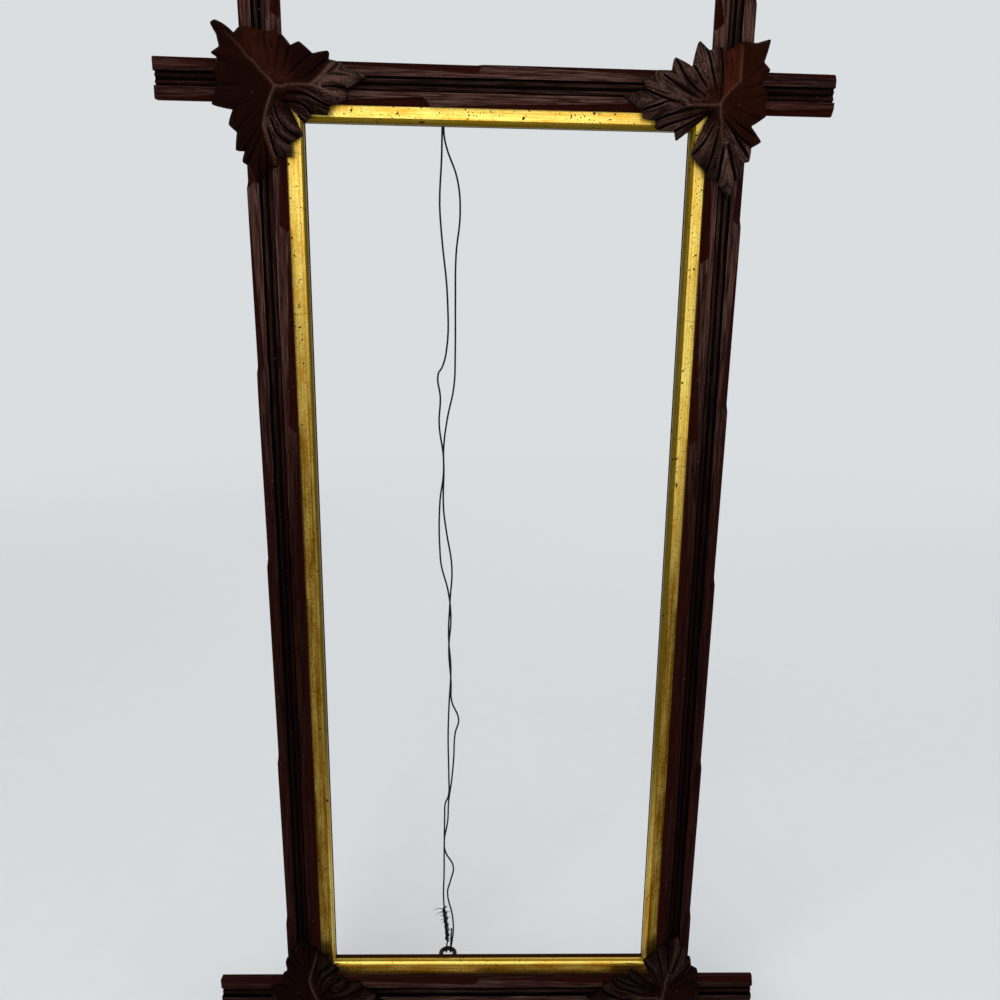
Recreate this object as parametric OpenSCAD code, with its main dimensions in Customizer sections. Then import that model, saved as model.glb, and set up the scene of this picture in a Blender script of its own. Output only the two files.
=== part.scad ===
// Cross-corner picture frame: four walnut bars half-lapped so that their arms run past the corners,
// chip-carved edges, a carved leaf on each crossing, a gilt mitred liner, two screw eyes and a wire.
// X runs across the frame, Y from front to back, and Z up. The frame stands on the ends of its stiles.

/* [Opening] */
// Width of the sight opening inside the liner
sight_w = 203.2; // [160:0.1:300]
// Height of the sight opening inside the liner
sight_h = 520.7; // [420:0.1:640]

/* [Bars] */
// Width of a bar across its face
bar_w = 20.6; // [19:0.1:28]
// Thickness of a bar from front to back
bar_t = 19; // [17:0.1:25]
// Length of each arm past the crossing
arm = 44.5; // [36:0.5:80]
// Width of the flat band along a bar's inner edge
inner_band = 6.8; // [5.8:0.1:8]
// Width of the flat band along a bar's outer edge
outer_band = 6.4; // [5.8:0.1:8]
// Depth of the channel between the bands
channel_d = 3.4; // [2:0.1:4]
// Number of reeds in the channel
reeds = 2; // [1:1:3]
// Radius of a reed
reed_r = 1.1; // [0.6:0.1:1.4]
// Thickness of the lip that covers the liner's outer edge
lip_t = 5.2; // [4.8:0.1:7]
// Width of the lip that covers the liner's outer edge
lip_w = 3.2; // [2:0.1:5]
// Width of the bevel behind an arm's inner edge
arm_bevel = 12; // [6:0.1:14]

/* [Chip carving] */
// Width of a chamfer across the face, at its stop
chip_w = 4.5; // [2:0.1:5.5]
// Depth of a chamfer down the side, at its stop
chip_d = 3.5; // [1.5:0.1:4.5]
// How far the stop slants along the edge
chip_slant = 4; // [2:0.1:8]

/* [Leaves] */
// Length of a leaf's longest lobe from the vein junction
leaf_lobe = 50; // [44:0.5:56]
// Height of a leaf's ridges above the bars
leaf_h = 8; // [6.5:0.1:12]
// Height of a leaf's edge at the tip of a tooth
leaf_edge = 4.6; // [3.5:0.1:6]
// Depth of the grooves between a leaf's teeth
groove_d = 2.2; // [1:0.1:2.8]
// Distance from the vein junction to the fork of a lobe
leaf_fork = 16; // [10:0.5:20]

/* [Liner] */
// Width of the liner that shows between the opening and the bars
liner_show = 8.8; // [7:0.1:15]
// Radius of the bead along the opening
bead_r = 2.4; // [1.5:0.1:3]
// Width of the quirk beside the bead
quirk_w = 0.5; // [0.2:0.1:1]
// Depth of the quirk beside the bead
quirk_d = 0.7; // [0.2:0.1:1]
// Thickness of the liner's lip in front of the picture
liner_lip = 7.8; // [5:0.1:9]
// Width of the rebate that takes the picture
rebate_w = 6.35; // [4:0.05:7]

/* [Screw eyes and wire] */
// Outside diameter of a screw eye's ring
eye_od = 12.4; // [11:0.1:16]
// Diameter of the rod that a screw eye is bent from
eye_rod = 3; // [2:0.1:3.5]
// Bare neck between a rail's back and the ring
eye_neck = 8; // [5:0.1:12]
// Length of a screw eye's shank in the rail
eye_shank = 10; // [6:0.1:12]
// Place of the screw eyes left of the frame's middle line
eye_left = 29; // [0:0.5:40]
// Distance of the screw eyes outside the opening's edge
eye_out = 16; // [15:0.1:20]
// Diameter of the hanging wire
wire_d = 1.1; // [0.8:0.1:1.4]
// Turns of the wire's tail round its own strand
tail_turns = 6; // [3:1:7]
// Room between the wire and the ring that it goes round
wire_gap = 0.3; // [0.2:0.05:0.6]

/* [Nails] */
// Diameter of a lap nail's shank
nail_d = 1.8; // [1.2:0.1:2.4]
// Diameter of a lap nail's head
nail_head_d = 4.4; // [3:0.1:6]
// Thickness of a lap nail's head
nail_head_t = 0.9; // [0.5:0.1:1.5]
// Diameter of a brad
brad_d = 1.2; // [0.8:0.1:1.6]
// Reach of a brad into the bar behind the leaf or the liner
brad_reach = 6; // [4:0.1:8]
// Room round each nail, brad and screw in its hole
hole_gap = 0.05; // [0.02:0.01:0.2]

/* [Hidden] */
$fn = 32;

walnut = "#3b1d18";
leaf_brown = "#4a2019";
gilt = "#d9b13f";
dark_steel = "#2b2724";
over = 1;

// Half sizes measured from the middle of the opening
half_x = sight_w / 2;
half_z = sight_h / 2;
bar_x = half_x + liner_show;
bar_z = half_z + liner_show;
cross_x = bar_x + bar_w / 2;
cross_z = bar_z + bar_w / 2;
end_x = bar_x + bar_w + arm;
end_z = bar_z + bar_w + arm;

channel_w = bar_w - inner_band - outer_band;
lap_d = bar_t / 2;
liner_w = liner_show + lip_w;
rebate_y = lip_t + liner_lip;
bead_y = lip_t + quirk_d + bead_r;

eye_y = bar_t + eye_neck + eye_od / 2;
eye_back = bar_t + eye_neck + eye_od;
eye_z = half_z + eye_out;
ring_r = (eye_od - eye_rod) / 2;
nail_tip_y = channel_d + 1.6;
brad_head_h = leaf_edge + 0.8;

// The frame stands at Z 0, and the middle of its depth is at Y 0
stand_z = end_z;
stand_y = (leaf_h - eye_back) / 2;

// Where each carved chamfer stops, as shares of half the opening, from the top or from the left
left_inner_stops = [1.2, 0.8, 0.385, -0.015, -0.515, -0.93, -1.34];
left_outer_stops = [0.885, 0.51, 0.08, -0.41, -0.855, -1.36];
right_inner_stops = [1.2, 0.755, 0.37, -0.04, -0.51, -0.93, -1.36];
right_outer_stops = [1.25, 0.83, 0.445, 0.045, -0.42, -0.84, -1.34];
top_inner_stops = [1.2, 0.38, -0.9, -1.9];
top_outer_stops = [1.2, 0.11, -1.28, -2.1];
bottom_inner_stops = [1.25, 0.1, -0.95, -1.9];
bottom_outer_stops = [1.15, 0.2, -1.1, -2];

// A leaf's teeth from its rail lobe, past the outer corner and down its stile lobe: each is the tip
// and the notch after it, towards the opening along the rail and along the stile, from the junction
leaf_drawn = 50;
right_leaf = [
    [[50, -3.5], [38.5, -7]], [[40.5, -11], [36, -12.5]], [[33.5, -16], [25.5, -16]],
    [[24.5, -22.5], [15, -18]], [[12.5, -30.5], [7, -26]], [[1, -28], [-1.5, -25]],
    [[-9.5, -30.5], [-17, -30]], [[-24, -32], [-21.5, -21]], [[-25, -17.5], [-20.5, -11]],
    [[-25, -5.5], [-23, -1]], [[-24.5, 5], [-17, 10]], [[-23, 17.5], [-18, 20.5]],
    [[-17.5, 27.5], [-14.5, 28]], [[-13, 36.5], [-10.5, 37]], [[-7.5, 46], [-1.5, 37.5]],
    [[3, 36.5], [6, 31.5]], [[13.5, 24.5], [4, 3.5]], [[21.5, 18], [22.5, 13]],
    [[32.5, 12.5], [32.5, 8]], [[39.5, 7], [39.5, 3.5]]
];
left_leaf = [
    [[46, -6.5], [38, -9]], [[31.5, -13], [26.5, -14]], [[27, -18], [19, -16.5]],
    [[12.5, -22], [8, -20]], [[2, -27], [-4.5, -26]], [[-16.5, -28.5], [-20.5, -25.5]],
    [[-32, -30], [-28, -19.5]], [[-32, -15.5], [-29, -13.5]], [[-31, -7], [-29.5, -1]],
    [[-33, 9], [-22.5, 11]], [[-25, 18.5], [-21, 22]], [[-22, 31], [-17.5, 31]],
    [[-19, 36.5], [-16.5, 38]], [[-11.5, 47], [-6, 39]], [[-1.5, 38.5], [-1, 33]],
    [[6, 33.5], [5.5, 26.5]], [[12.5, 22.5], [3.5, 5.5]], [[13.5, 17], [17, 12]],
    [[25, 12.5], [26.5, 8]], [[36, 4.5], [35, 0]]
];
// The vein junction's place from the crossing's centre, along the rail and along the stile, on the
// leaf at the foot and on the one at the top: the carver set the foot's leaves lower
right_leaf_at = [[6, 0.5], [6, 6.5]];
left_leaf_at = [[11, -3], [8, 3.5]];
// Brads from the crossing's centre, one towards each outer edge
leaf_brad_at = [[-3, 6.5], [6, -2.5]];
lobe_spread = 22;
vein_mid = 0.55;

// The wire's rising strand, from above the lower eye, and its falling strand, from below the upper eye
rising = [
    [-29.3, 35.3, -264], [-29.8, 34.8, -256], [-31, 34.3, -244], [-31.8, 34, -234], [-31.4, 33.6, -212],
    [-31.2, 33.3, -190], [-30.8, 33.1, -168], [-30.4, 33, -159], [-28.3, 33, -153], [-28, 33, -140],
    [-28.4, 33, -110], [-27.8, 33.4, -88], [-26.6, 34, -62], [-28, 34, -40], [-27, 33.8, -16],
    [-25.8, 33.3, 6], [-29.2, 33, 30], [-30.8, 33, 44], [-30.7, 33, 76], [-33.2, 33, 96],
    [-32.4, 33, 112], [-33.6, 33, 126], [-31.5, 33, 129.5], [-29, 33, 138], [-28, 33, 168],
    [-31.4, 33, 206], [-32.3, 33.3, 222], [-31.2, 34.4, 246], [-30.8, 35.2, 262]
];
falling = [
    [-30.2, 39.4, 260], [-29, 38.8, 253], [-22.6, 37.5, 235], [-21, 37, 217], [-23.3, 36.7, 194],
    [-23.7, 36.4, 165], [-23.8, 36.2, 138], [-24.6, 36, 118], [-28.5, 36, 99], [-30.7, 36, 82],
    [-31, 36, 64], [-33.1, 36, 48], [-33.2, 36, 14], [-32.4, 36, 6], [-28.4, 36, -10],
    [-26.6, 35.8, -28], [-28, 35.8, -50], [-26.6, 35.8, -72], [-26.2, 35.8, -86], [-21.7, 35.8, -99],
    [-24, 36, -109], [-25, 36, -128], [-26.4, 36, -144], [-28.4, 36, -160], [-29, 36, -174],
    [-31.4, 36.2, -190], [-30.6, 36.5, -198], [-25.4, 37.3, -210], [-27.4, 38, -222], [-29.4, 38.4, -231],
    [-26, 37.8, -250], [-25.4, 36.8, -261]
];
strand_step = 1.6;
wire_sides = 8;
tail_r = wire_d + 0.25;
tail_pitch = 3.6;
tail_ring = 12;

function unit(v) = v / norm(v);
function flat_list(lists) = [for (l = lists) each l];

// Bars, in their own axes: X across from the inner edge, Y from the front back, Z along the bar
module bar_profile() {
    difference() {
        square([bar_w, bar_t]);
        translate([inner_band, -over]) square([channel_w, channel_d + over]);
    }
    for (i = [1:reeds])
        translate([inner_band + channel_w * (i - 0.5) / reeds, channel_d]) circle(reed_r);
}

// One tapered chamfer on the inner edge: it grows from start to stop, and runs out past each face
module chip(start, stop) {
    tip = [0, 0, start];
    face = [chip_w, 0, stop];
    side = [0, chip_d, stop];
    corner = [0, 0, stop - chip_slant];
    middle = (face + side) / 2;
    polyhedron(
        points = [
            tip + 0.1 * (tip - middle), face + 0.3 * (face - side),
            side + 0.3 * (side - face), corner + 0.5 * (corner - middle)
        ],
        faces = [[0, 2, 1], [0, 1, 3], [0, 3, 2], [1, 2, 3]]
    );
}

module chips(stops, unit_length, bar_end) {
    for (i = [0:len(stops) - 1])
        chip(i == 0 ? bar_end + chip_slant : stops[i - 1] * unit_length, stops[i] * unit_length);
}

// The bevel that leaves an arm only a thin edge on its inner side
module arm_relief(cross_at) {
    slope = (bar_t - lip_t) / arm_bevel;
    foot = [-over, lip_t - over * slope];
    back = [arm_bevel + over / slope, bar_t + over];
    translate([0, 0, cross_at + bar_w / 2])
        linear_extrude(height = arm + over) polygon([foot, back, [-over, bar_t + over]]);
}

// A carved bar with the rebate that the liner sits in and a half-lap notch at each crossing
module bar(bar_end, cross_at, unit_length, notch_from, notch_to, inner_stops, outer_stops) {
    difference() {
        linear_extrude(height = 2 * bar_end, center = true) bar_profile();
        translate([-over, lip_t, -cross_at + bar_w / 2 - lip_w])
            cube([lip_w + over, bar_t, 2 * cross_at - bar_w + 2 * lip_w]);
        for (s = [-1, 1])
            translate([-over, notch_from, s * cross_at - bar_w / 2])
                cube([bar_w + 2 * over, notch_to - notch_from, bar_w]);
        for (s = [0, 1]) mirror([0, 0, s]) arm_relief(cross_at);
        chips(inner_stops, unit_length, bar_end);
        translate([bar_w, 0, 0]) mirror([1, 0, 0]) chips(outer_stops, unit_length, bar_end);
    }
}

module stile(inner_stops, outer_stops) {
    translate([bar_x, 0, 0])
        bar(end_z, cross_z, half_z, lap_d, bar_t + over, inner_stops, outer_stops);
}

module rail(inner_stops, outer_stops) {
    translate([0, 0, bar_z]) rotate([0, -90, 0])
        bar(end_x, cross_x, half_x, -over, lap_d, inner_stops, outer_stops);
}

// The whole frame is drawn round the middle of the opening, and this stands it up
module stood() {
    translate([0, stand_y, stand_z]) children();
}

// A corner's own axes: X along the rail and Z along the stile, both from the crossing to the opening
module corner(right, top) {
    mirror([right, 0, 0]) mirror([0, 0, top]) translate([-cross_x, 0, -cross_z]) children();
}

module corners() {
    for (right = [0, 1], top = [0, 1]) corner(right, top) children();
}

// Nails: with room round them they are the holes that they go in
module lap_nail(room = 0) {
    rotate([90, 0, 0]) {
        translate([0, 0, -bar_t - room]) cylinder(d = nail_head_d + 2 * room, h = nail_head_t + 2 * room);
        translate([0, 0, -bar_t]) cylinder(d = nail_d + 2 * room, h = bar_t - nail_tip_y + room);
    }
}

module crossing_brads(head_h, room = 0) {
    for (p = leaf_brad_at)
        translate([p[0], 0, p[1]]) rotate([90, 0, 0])
            translate([0, 0, -brad_reach - room])
                cylinder(d = brad_d + 2 * room, h = brad_reach + head_h + room);
}

function brad_spots(length, count) = [for (i = [1:count]) length * ((i - 0.5) / count - 0.5)];

module side_brads(length, count, room = 0) {
    for (t = brad_spots(length, count))
        translate([rebate_w - room, (rebate_y + bar_t) / 2, t]) rotate([0, 90, 0])
            cylinder(d = brad_d + 2 * room, h = liner_w - rebate_w + brad_reach + 2 * room);
}

module all_liner_brads(room = 0) {
    for (right = [0, 1])
        mirror([1 - right, 0, 0]) translate([half_x, 0, 0]) side_brads(sight_h, 3, room);
    for (low = [0, 1])
        mirror([0, 0, low]) translate([0, 0, half_z]) rotate([0, -90, 0]) side_brads(sight_w, 2, room);
}

module nail_holes() {
    corners() lap_nail(hole_gap);
    corners() crossing_brads(brad_head_h, hole_gap);
    all_liner_brads(hole_gap);
}

// Leaves: a ridge runs out to each tooth's tip and a groove to each notch, from the vein junction
// or, in the three lobes, from the lobe's fork
function leaf_outline(teeth) = flat_list(teeth) * leaf_lobe / leaf_drawn;
function tip_with(points, scores) = points[search(max(scores), scores)[0]];
function lobes(points) = [
    tip_with(points, [for (p = points) p[0]]),
    tip_with(points, [for (p = points) p[1]]),
    tip_with(points, [for (p = points) -p[0] - p[1]])
];
function vein_root(p, tips) =
    let (own = [for (t = tips) if (unit(p) * unit(t) > cos(lobe_spread)) leaf_fork * unit(t)])
    len(own) > 0 ? own[0] : [0, 0];
function lift(p, height) = [p[0], -height, p[1]];

module leaf_solid(teeth) {
    rim = leaf_outline(teeth);
    n = len(rim);
    tips = lobes(rim);
    roots = [for (p = rim) vein_root(p, tips)];
    ridge = [for (i = [0:n - 1]) i % 2 == 0 ? 0 : groove_d];
    mids = [for (i = [0:n - 1]) roots[i] + vein_mid * (rim[i] - roots[i])];
    points = flat_list([
        [for (r = roots) lift(r, norm(r) > 0 ? leaf_h : leaf_h - groove_d / 2)],
        [for (i = [0:n - 1]) lift(mids[i], leaf_h - groove_d / 3 - ridge[i])],
        [for (i = [0:n - 1]) lift(rim[i], leaf_edge - ridge[i] * 0.8)],
        [for (p = rim) lift(p, 0)],
        [for (r = roots) lift(r, 0)]
    ]);
    faces = [for (i = [0:n - 1])
        let (k = (i + 1) % n, first = search([points[i]], points)[0], next = search([points[k]], points)[0])
        each [
            [first, n + i, n + k],
            if (first != next) [first, n + k, next],
            [n + i, 2 * n + i, 2 * n + k],
            [n + i, 2 * n + k, n + k],
            [2 * n + k, 2 * n + i, 3 * n + i],
            [2 * n + k, 3 * n + i, 3 * n + k],
            [4 * n + first, 3 * n + k, 3 * n + i],
            if (first != next) [4 * n + first, 4 * n + next, 3 * n + k]
        ]
    ];
    polyhedron(points = points, faces = faces);
}

module leaf(right, top) {
    teeth = right == 1 ? right_leaf : left_leaf;
    place = (right == 1 ? right_leaf_at : left_leaf_at)[top];
    corner(right, top) difference() {
        translate([place[0], 0, place[1]]) leaf_solid(teeth);
        crossing_brads(leaf_h + over, hole_gap);
    }
}

// Liner: a flat, a quirk and a quarter-round bead, with the picture's rebate behind
module liner_profile() {
    difference() {
        union() {
            translate([bead_r, bead_y]) circle(bead_r);
            translate([0, bead_y]) square([liner_w, rebate_y - bead_y]);
            translate([bead_r, lip_t + quirk_d]) square([liner_w - bead_r, bar_t - lip_t - quirk_d]);
            translate([bead_r + quirk_w, lip_t]) square([liner_w - bead_r - quirk_w, bar_t - lip_t]);
        }
        translate([-over, rebate_y]) square([rebate_w + over, bar_t]);
    }
}

module liner_side(length, brads) {
    end = length / 2;
    difference() {
        intersection() {
            linear_extrude(height = length + 2 * liner_w, center = true) liner_profile();
            translate([0, bar_t + over, 0]) rotate([90, 0, 0]) linear_extrude(height = bar_t + 2 * over)
                polygon([[0, -end], [liner_w, -end - liner_w], [liner_w, end + liner_w], [0, end]]);
        }
        side_brads(length, brads, hole_gap);
    }
}

// Screw eyes: a ring that lies level and a shank that goes into the rail's back
module screw_eye() {
    translate([-eye_left, eye_y, eye_z]) {
        rotate_extrude() translate([ring_r, 0]) circle(d = eye_rod);
        rotate([90, 0, 0]) translate([0, 0, ring_r])
            cylinder(d = eye_rod, h = eye_od / 2 - ring_r + eye_neck + eye_shank);
    }
}

module eye_hole() {
    translate([-eye_left, bar_t - eye_shank - hole_gap, eye_z]) rotate([-90, 0, 0])
        cylinder(d = eye_rod + 2 * hole_gap, h = eye_shank + hole_gap + over);
}

// Wire: its tail winds round the rising strand, both ends go round the lower ring, and the middle
// goes over the upper ring
function around_ring(x, z, turn) = [for (a = [0:36:180])
    [x, eye_y + ring_r - bend_r * cos(a), z + turn * bend_r * sin(a)]];
bend_r = eye_rod / 2 + wire_gap + wire_d / 2;
function strand_at(z) = [
    lookup(z, [for (p = rising) [p[2], p[0]]]),
    lookup(z, [for (p = rising) [p[2], p[1]]]),
    z];
tail_low = rising[0][2];
tail = [for (i = [tail_turns * tail_ring:-1:0])
    let (z = tail_low + i * tail_pitch / tail_ring, a = 90 - i * 360 / tail_ring)
    strand_at(z) + tail_r * [cos(a), sin(a), 0]];
function backwards(list) = [for (i = [len(list) - 1:-1:0]) list[i]];
low_in = backwards(around_ring(-eye_left - 1.2, -eye_z, -1));
wire_path = concat(
    tail,
    [[-eye_left - 1.2, eye_y + ring_r + bend_r, -eye_z + 5]],
    low_in,
    rising,
    around_ring(-eye_left - 1, eye_z, 1),
    falling,
    around_ring(-eye_left + 1.6, -eye_z, -1),
    [[-eye_left + 2.2, eye_y + ring_r + bend_r + 0.4, -eye_z + 14]]
);

function heading(path, i) =
    unit(path[min(i + 1, len(path) - 1)] - path[max(i - 1, 0)]);
function ring_points(path, i) =
    let (along = heading(path, i), side = unit(cross(along, [1, 0, 0])), up = cross(along, side))
    [for (k = [0:wire_sides - 1])
        path[i] + wire_d / 2 * (cos(k * 360 / wire_sides) * side + sin(k * 360 / wire_sides) * up)];

module tube(path) {
    rings = len(path);
    m = wire_sides;
    last = (rings - 1) * m;
    polyhedron(
        points = flat_list([for (i = [0:rings - 1]) ring_points(path, i)]),
        faces = concat(
            [for (k = [1:m - 2]) [0, k + 1, k]],
            flat_list([for (i = [0:rings - 2], k = [0:m - 1])
                let (a = i * m + k, b = i * m + (k + 1) % m)
                [[a, b, b + m], [a, b + m, a + m]]]),
            [for (k = [1:m - 2]) [last, last + k, last + k + 1]]
        )
    );
}

// The least gap between stretches of the wire that lie apart along it, on points strand_step apart
function finely(path) = flat_list([for (i = [0:len(path) - 2])
    let (count = ceil(norm(path[i + 1] - path[i]) / strand_step))
    [for (k = [0:count - 1]) path[i] + (path[i + 1] - path[i]) * k / count]]);
function least_gap(points, apart) = min([for (i = [0:len(points) - 1 - apart])
    min([for (k = [i + apart:len(points) - 1]) norm(points[k] - points[i])])]) - wire_d;
function path_length(path) = len(path) < 2 ? 0 :
    let (steps = [for (i = [1:len(path) - 1]) norm(path[i] - path[i - 1])]) steps * [for (s = steps) 1];

// Sub-parts
module stile_left() {
    color(walnut) stood() difference() {
        mirror([1, 0, 0]) stile(left_inner_stops, left_outer_stops);
        nail_holes();
    }
}

module stile_right() {
    color(walnut) stood() difference() {
        stile(right_inner_stops, right_outer_stops);
        nail_holes();
    }
}

module rail_top() {
    color(walnut) stood() difference() {
        rail(top_inner_stops, top_outer_stops);
        nail_holes();
        eye_hole();
    }
}

module rail_bottom() {
    color(walnut) stood() difference() {
        mirror([0, 0, 1]) rail(bottom_inner_stops, bottom_outer_stops);
        nail_holes();
        mirror([0, 0, 1]) eye_hole();
    }
}

module leaf_top_left() {
    color(leaf_brown) stood() leaf(0, 1);
}

module leaf_top_right() {
    color(leaf_brown) stood() leaf(1, 1);
}

module leaf_bottom_left() {
    color(leaf_brown) stood() leaf(0, 0);
}

module leaf_bottom_right() {
    color(leaf_brown) stood() leaf(1, 0);
}

module liner_left() {
    color(gilt) stood() mirror([1, 0, 0]) translate([half_x, 0, 0]) liner_side(sight_h, 3);
}

module liner_right() {
    color(gilt) stood() translate([half_x, 0, 0]) liner_side(sight_h, 3);
}

module liner_top() {
    color(gilt) stood() translate([0, 0, half_z]) rotate([0, -90, 0]) liner_side(sight_w, 2);
}

module liner_bottom() {
    color(gilt) stood() mirror([0, 0, 1]) translate([0, 0, half_z])
        rotate([0, -90, 0]) liner_side(sight_w, 2);
}

module screw_eye_top() {
    color(dark_steel) stood() screw_eye();
}

module screw_eye_bottom() {
    color(dark_steel) stood() mirror([0, 0, 1]) screw_eye();
}

module hanging_wire() {
    echo(wire_length = path_length(wire_path), least_gap = least_gap(finely(wire_path), 5));
    color(dark_steel) stood() tube(wire_path);
}

module lap_nails() {
    color(dark_steel) stood() corners() lap_nail();
}

module leaf_brads() {
    color(dark_steel) stood() corners() crossing_brads(brad_head_h);
}

module liner_brads() {
    color(dark_steel) stood() all_liner_brads();
}

stile_left();
stile_right();
rail_top();
rail_bottom();
leaf_top_left();
leaf_top_right();
leaf_bottom_left();
leaf_bottom_right();
liner_left();
liner_right();
liner_top();
liner_bottom();
screw_eye_top();
screw_eye_bottom();
hanging_wire();
lap_nails();
leaf_brads();
liner_brads();
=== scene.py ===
"""Dresses the cross-corner frame: carved walnut bars and leaves, a gilt liner, screw eyes and a wire.

Lengths are in metres in the frame's own axes: X across, Y from front to back, Z up. A size that is
written in millimetres is multiplied by MM where it is used.
"""

import logging
import math
from collections.abc import Callable, Sequence
from dataclasses import dataclass, field
from enum import Enum

import bmesh
import bpy
import numpy as np
from mathutils import Matrix, Vector, geometry, noise

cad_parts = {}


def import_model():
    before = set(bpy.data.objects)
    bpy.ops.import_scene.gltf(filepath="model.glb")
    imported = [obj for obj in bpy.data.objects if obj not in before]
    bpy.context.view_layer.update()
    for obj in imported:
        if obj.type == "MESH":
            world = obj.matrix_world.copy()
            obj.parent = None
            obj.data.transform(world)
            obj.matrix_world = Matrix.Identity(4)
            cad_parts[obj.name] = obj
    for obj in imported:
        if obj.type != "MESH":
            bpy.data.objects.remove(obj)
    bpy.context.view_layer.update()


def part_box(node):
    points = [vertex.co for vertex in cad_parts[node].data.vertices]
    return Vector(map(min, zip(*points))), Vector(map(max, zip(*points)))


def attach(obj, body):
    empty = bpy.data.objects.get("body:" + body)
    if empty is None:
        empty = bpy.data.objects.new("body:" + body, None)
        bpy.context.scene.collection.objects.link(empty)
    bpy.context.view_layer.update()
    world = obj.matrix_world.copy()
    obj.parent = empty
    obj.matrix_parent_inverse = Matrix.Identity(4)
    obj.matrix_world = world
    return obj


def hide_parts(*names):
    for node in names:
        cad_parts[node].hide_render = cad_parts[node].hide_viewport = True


MM = 0.001
MM_PER_CM = 10
BODY = "root"
ZONE = "zone"
CARVE = "carve"
LOG = logging.getLogger("cross_corner_frame")

Colour = tuple[float, float, float]
Pair = tuple[float, float]
Triple = tuple[float, float, float]
Tint = tuple[float, float, float, float]
Line = tuple[Pair, ...]
Cut = tuple[float, Line]


def srgb(red: int, green: int, blue: int) -> Colour:
    """Turns a screen colour into linear light.

    Args:
        red: Red from 0 to 255.
        green: Green from 0 to 255.
        blue: Blue from 0 to 255.

    Returns:
        The same colour in linear light.
    """
    shares = [channel / 255 for channel in (red, green, blue)]
    red_l, green_l, blue_l = (s / 12.92 if s <= 0.04045 else ((s + 0.055) / 1.055) ** 2.4 for s in shares)
    return red_l, green_l, blue_l


def lerp(low: float, high: float, share: float) -> float:
    """Goes from low to high as share goes from 0 to 1."""
    return low + (high - low) * share


def along_table(share: float, table: Sequence[Pair]) -> float:
    """Reads a height from a table of (place, height) pairs, straight between its pairs.

    Args:
        share: Where to read it.
        table: Pairs in rising order of place.

    Returns:
        The height there, or the nearest end's.
    """
    for (low, start), (high, end) in zip(table, table[1:]):
        if share <= high:
            return lerp(start, end, max(0.0, (share - low) / (high - low)))
    return table[-1][1]


def ease(values: np.ndarray, low: float, high: float) -> np.ndarray:
    """Rises smoothly from 0 where the values are at low to 1 where they are at high."""
    share = np.clip((values - low) / (high - low), 0.0, 1.0)
    return share * share * (3 - 2 * share)


def even_line(points: Sequence[Pair], step: float) -> np.ndarray:
    """Draws a smooth line through points, in even steps.

    Args:
        points: The points, in order.
        step: About how far apart the line's own points are.

    Returns:
        The line's points, one in each row.
    """
    given = np.array(points, dtype=float)
    padded = np.vstack((2 * given[0] - given[1], given, 2 * given[-1] - given[-2]))
    rows = []
    for p0, p1, p2, p3 in zip(padded, padded[1:], padded[2:], padded[3:]):
        count = max(1, round(float(np.linalg.norm(p2 - p1)) / step))
        t = (np.arange(count) / count)[:, None]
        rows.append(
            0.5 * (2 * p1 + (p2 - p0) * t + (2 * p0 - 5 * p1 + 4 * p2 - p3) * t**2
                   + (3 * p1 - p0 - 3 * p2 + p3) * t**3)
        )
    return np.vstack((*rows, given[-1]))


def near_line(places: np.ndarray, line: np.ndarray) -> tuple[np.ndarray, np.ndarray]:
    """Measures places against a line.

    Args:
        places: The places, one in each row.
        line: The line's points, one in each row.

    Returns:
        Each place's distance from the line, and the share of the line's length at its nearest point.
    """
    spans = np.diff(line, axis=0)
    lengths = np.linalg.norm(spans, axis=1)
    run = np.concatenate(([0.0], np.cumsum(lengths)))
    gaps = np.full(len(places), np.inf)
    shares = np.zeros(len(places))
    for start, span, length, before in zip(line, spans, lengths, run):
        t = np.clip((places - start) @ span / length**2, 0.0, 1.0)
        gap = np.linalg.norm(places - start - t[:, None] * span, axis=1)
        closer = gap < gaps
        gaps[closer] = gap[closer]
        shares[closer] = (before + t[closer] * length) / run[-1]
    return gaps, shares


def within(places: np.ndarray, ring: Sequence[Pair]) -> np.ndarray:
    """Tells which places are inside a closed ring of points.

    Args:
        places: The places, one in each row.
        ring: The ring's corners, in order.

    Returns:
        True for each place that is inside.
    """
    inside = np.zeros(len(places), dtype=bool)
    corners = np.array(ring, dtype=float)
    for (ax, ay), (bx, by) in zip(corners, np.roll(corners, -1, axis=0)):
        spans = (ay > places[:, 1]) != (by > places[:, 1])
        reach = ax + (places[:, 1] - ay) * (bx - ax) / (by - ay if by != ay else 1.0)
        inside ^= spans & (places[:, 0] < reach)
    return inside


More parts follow.
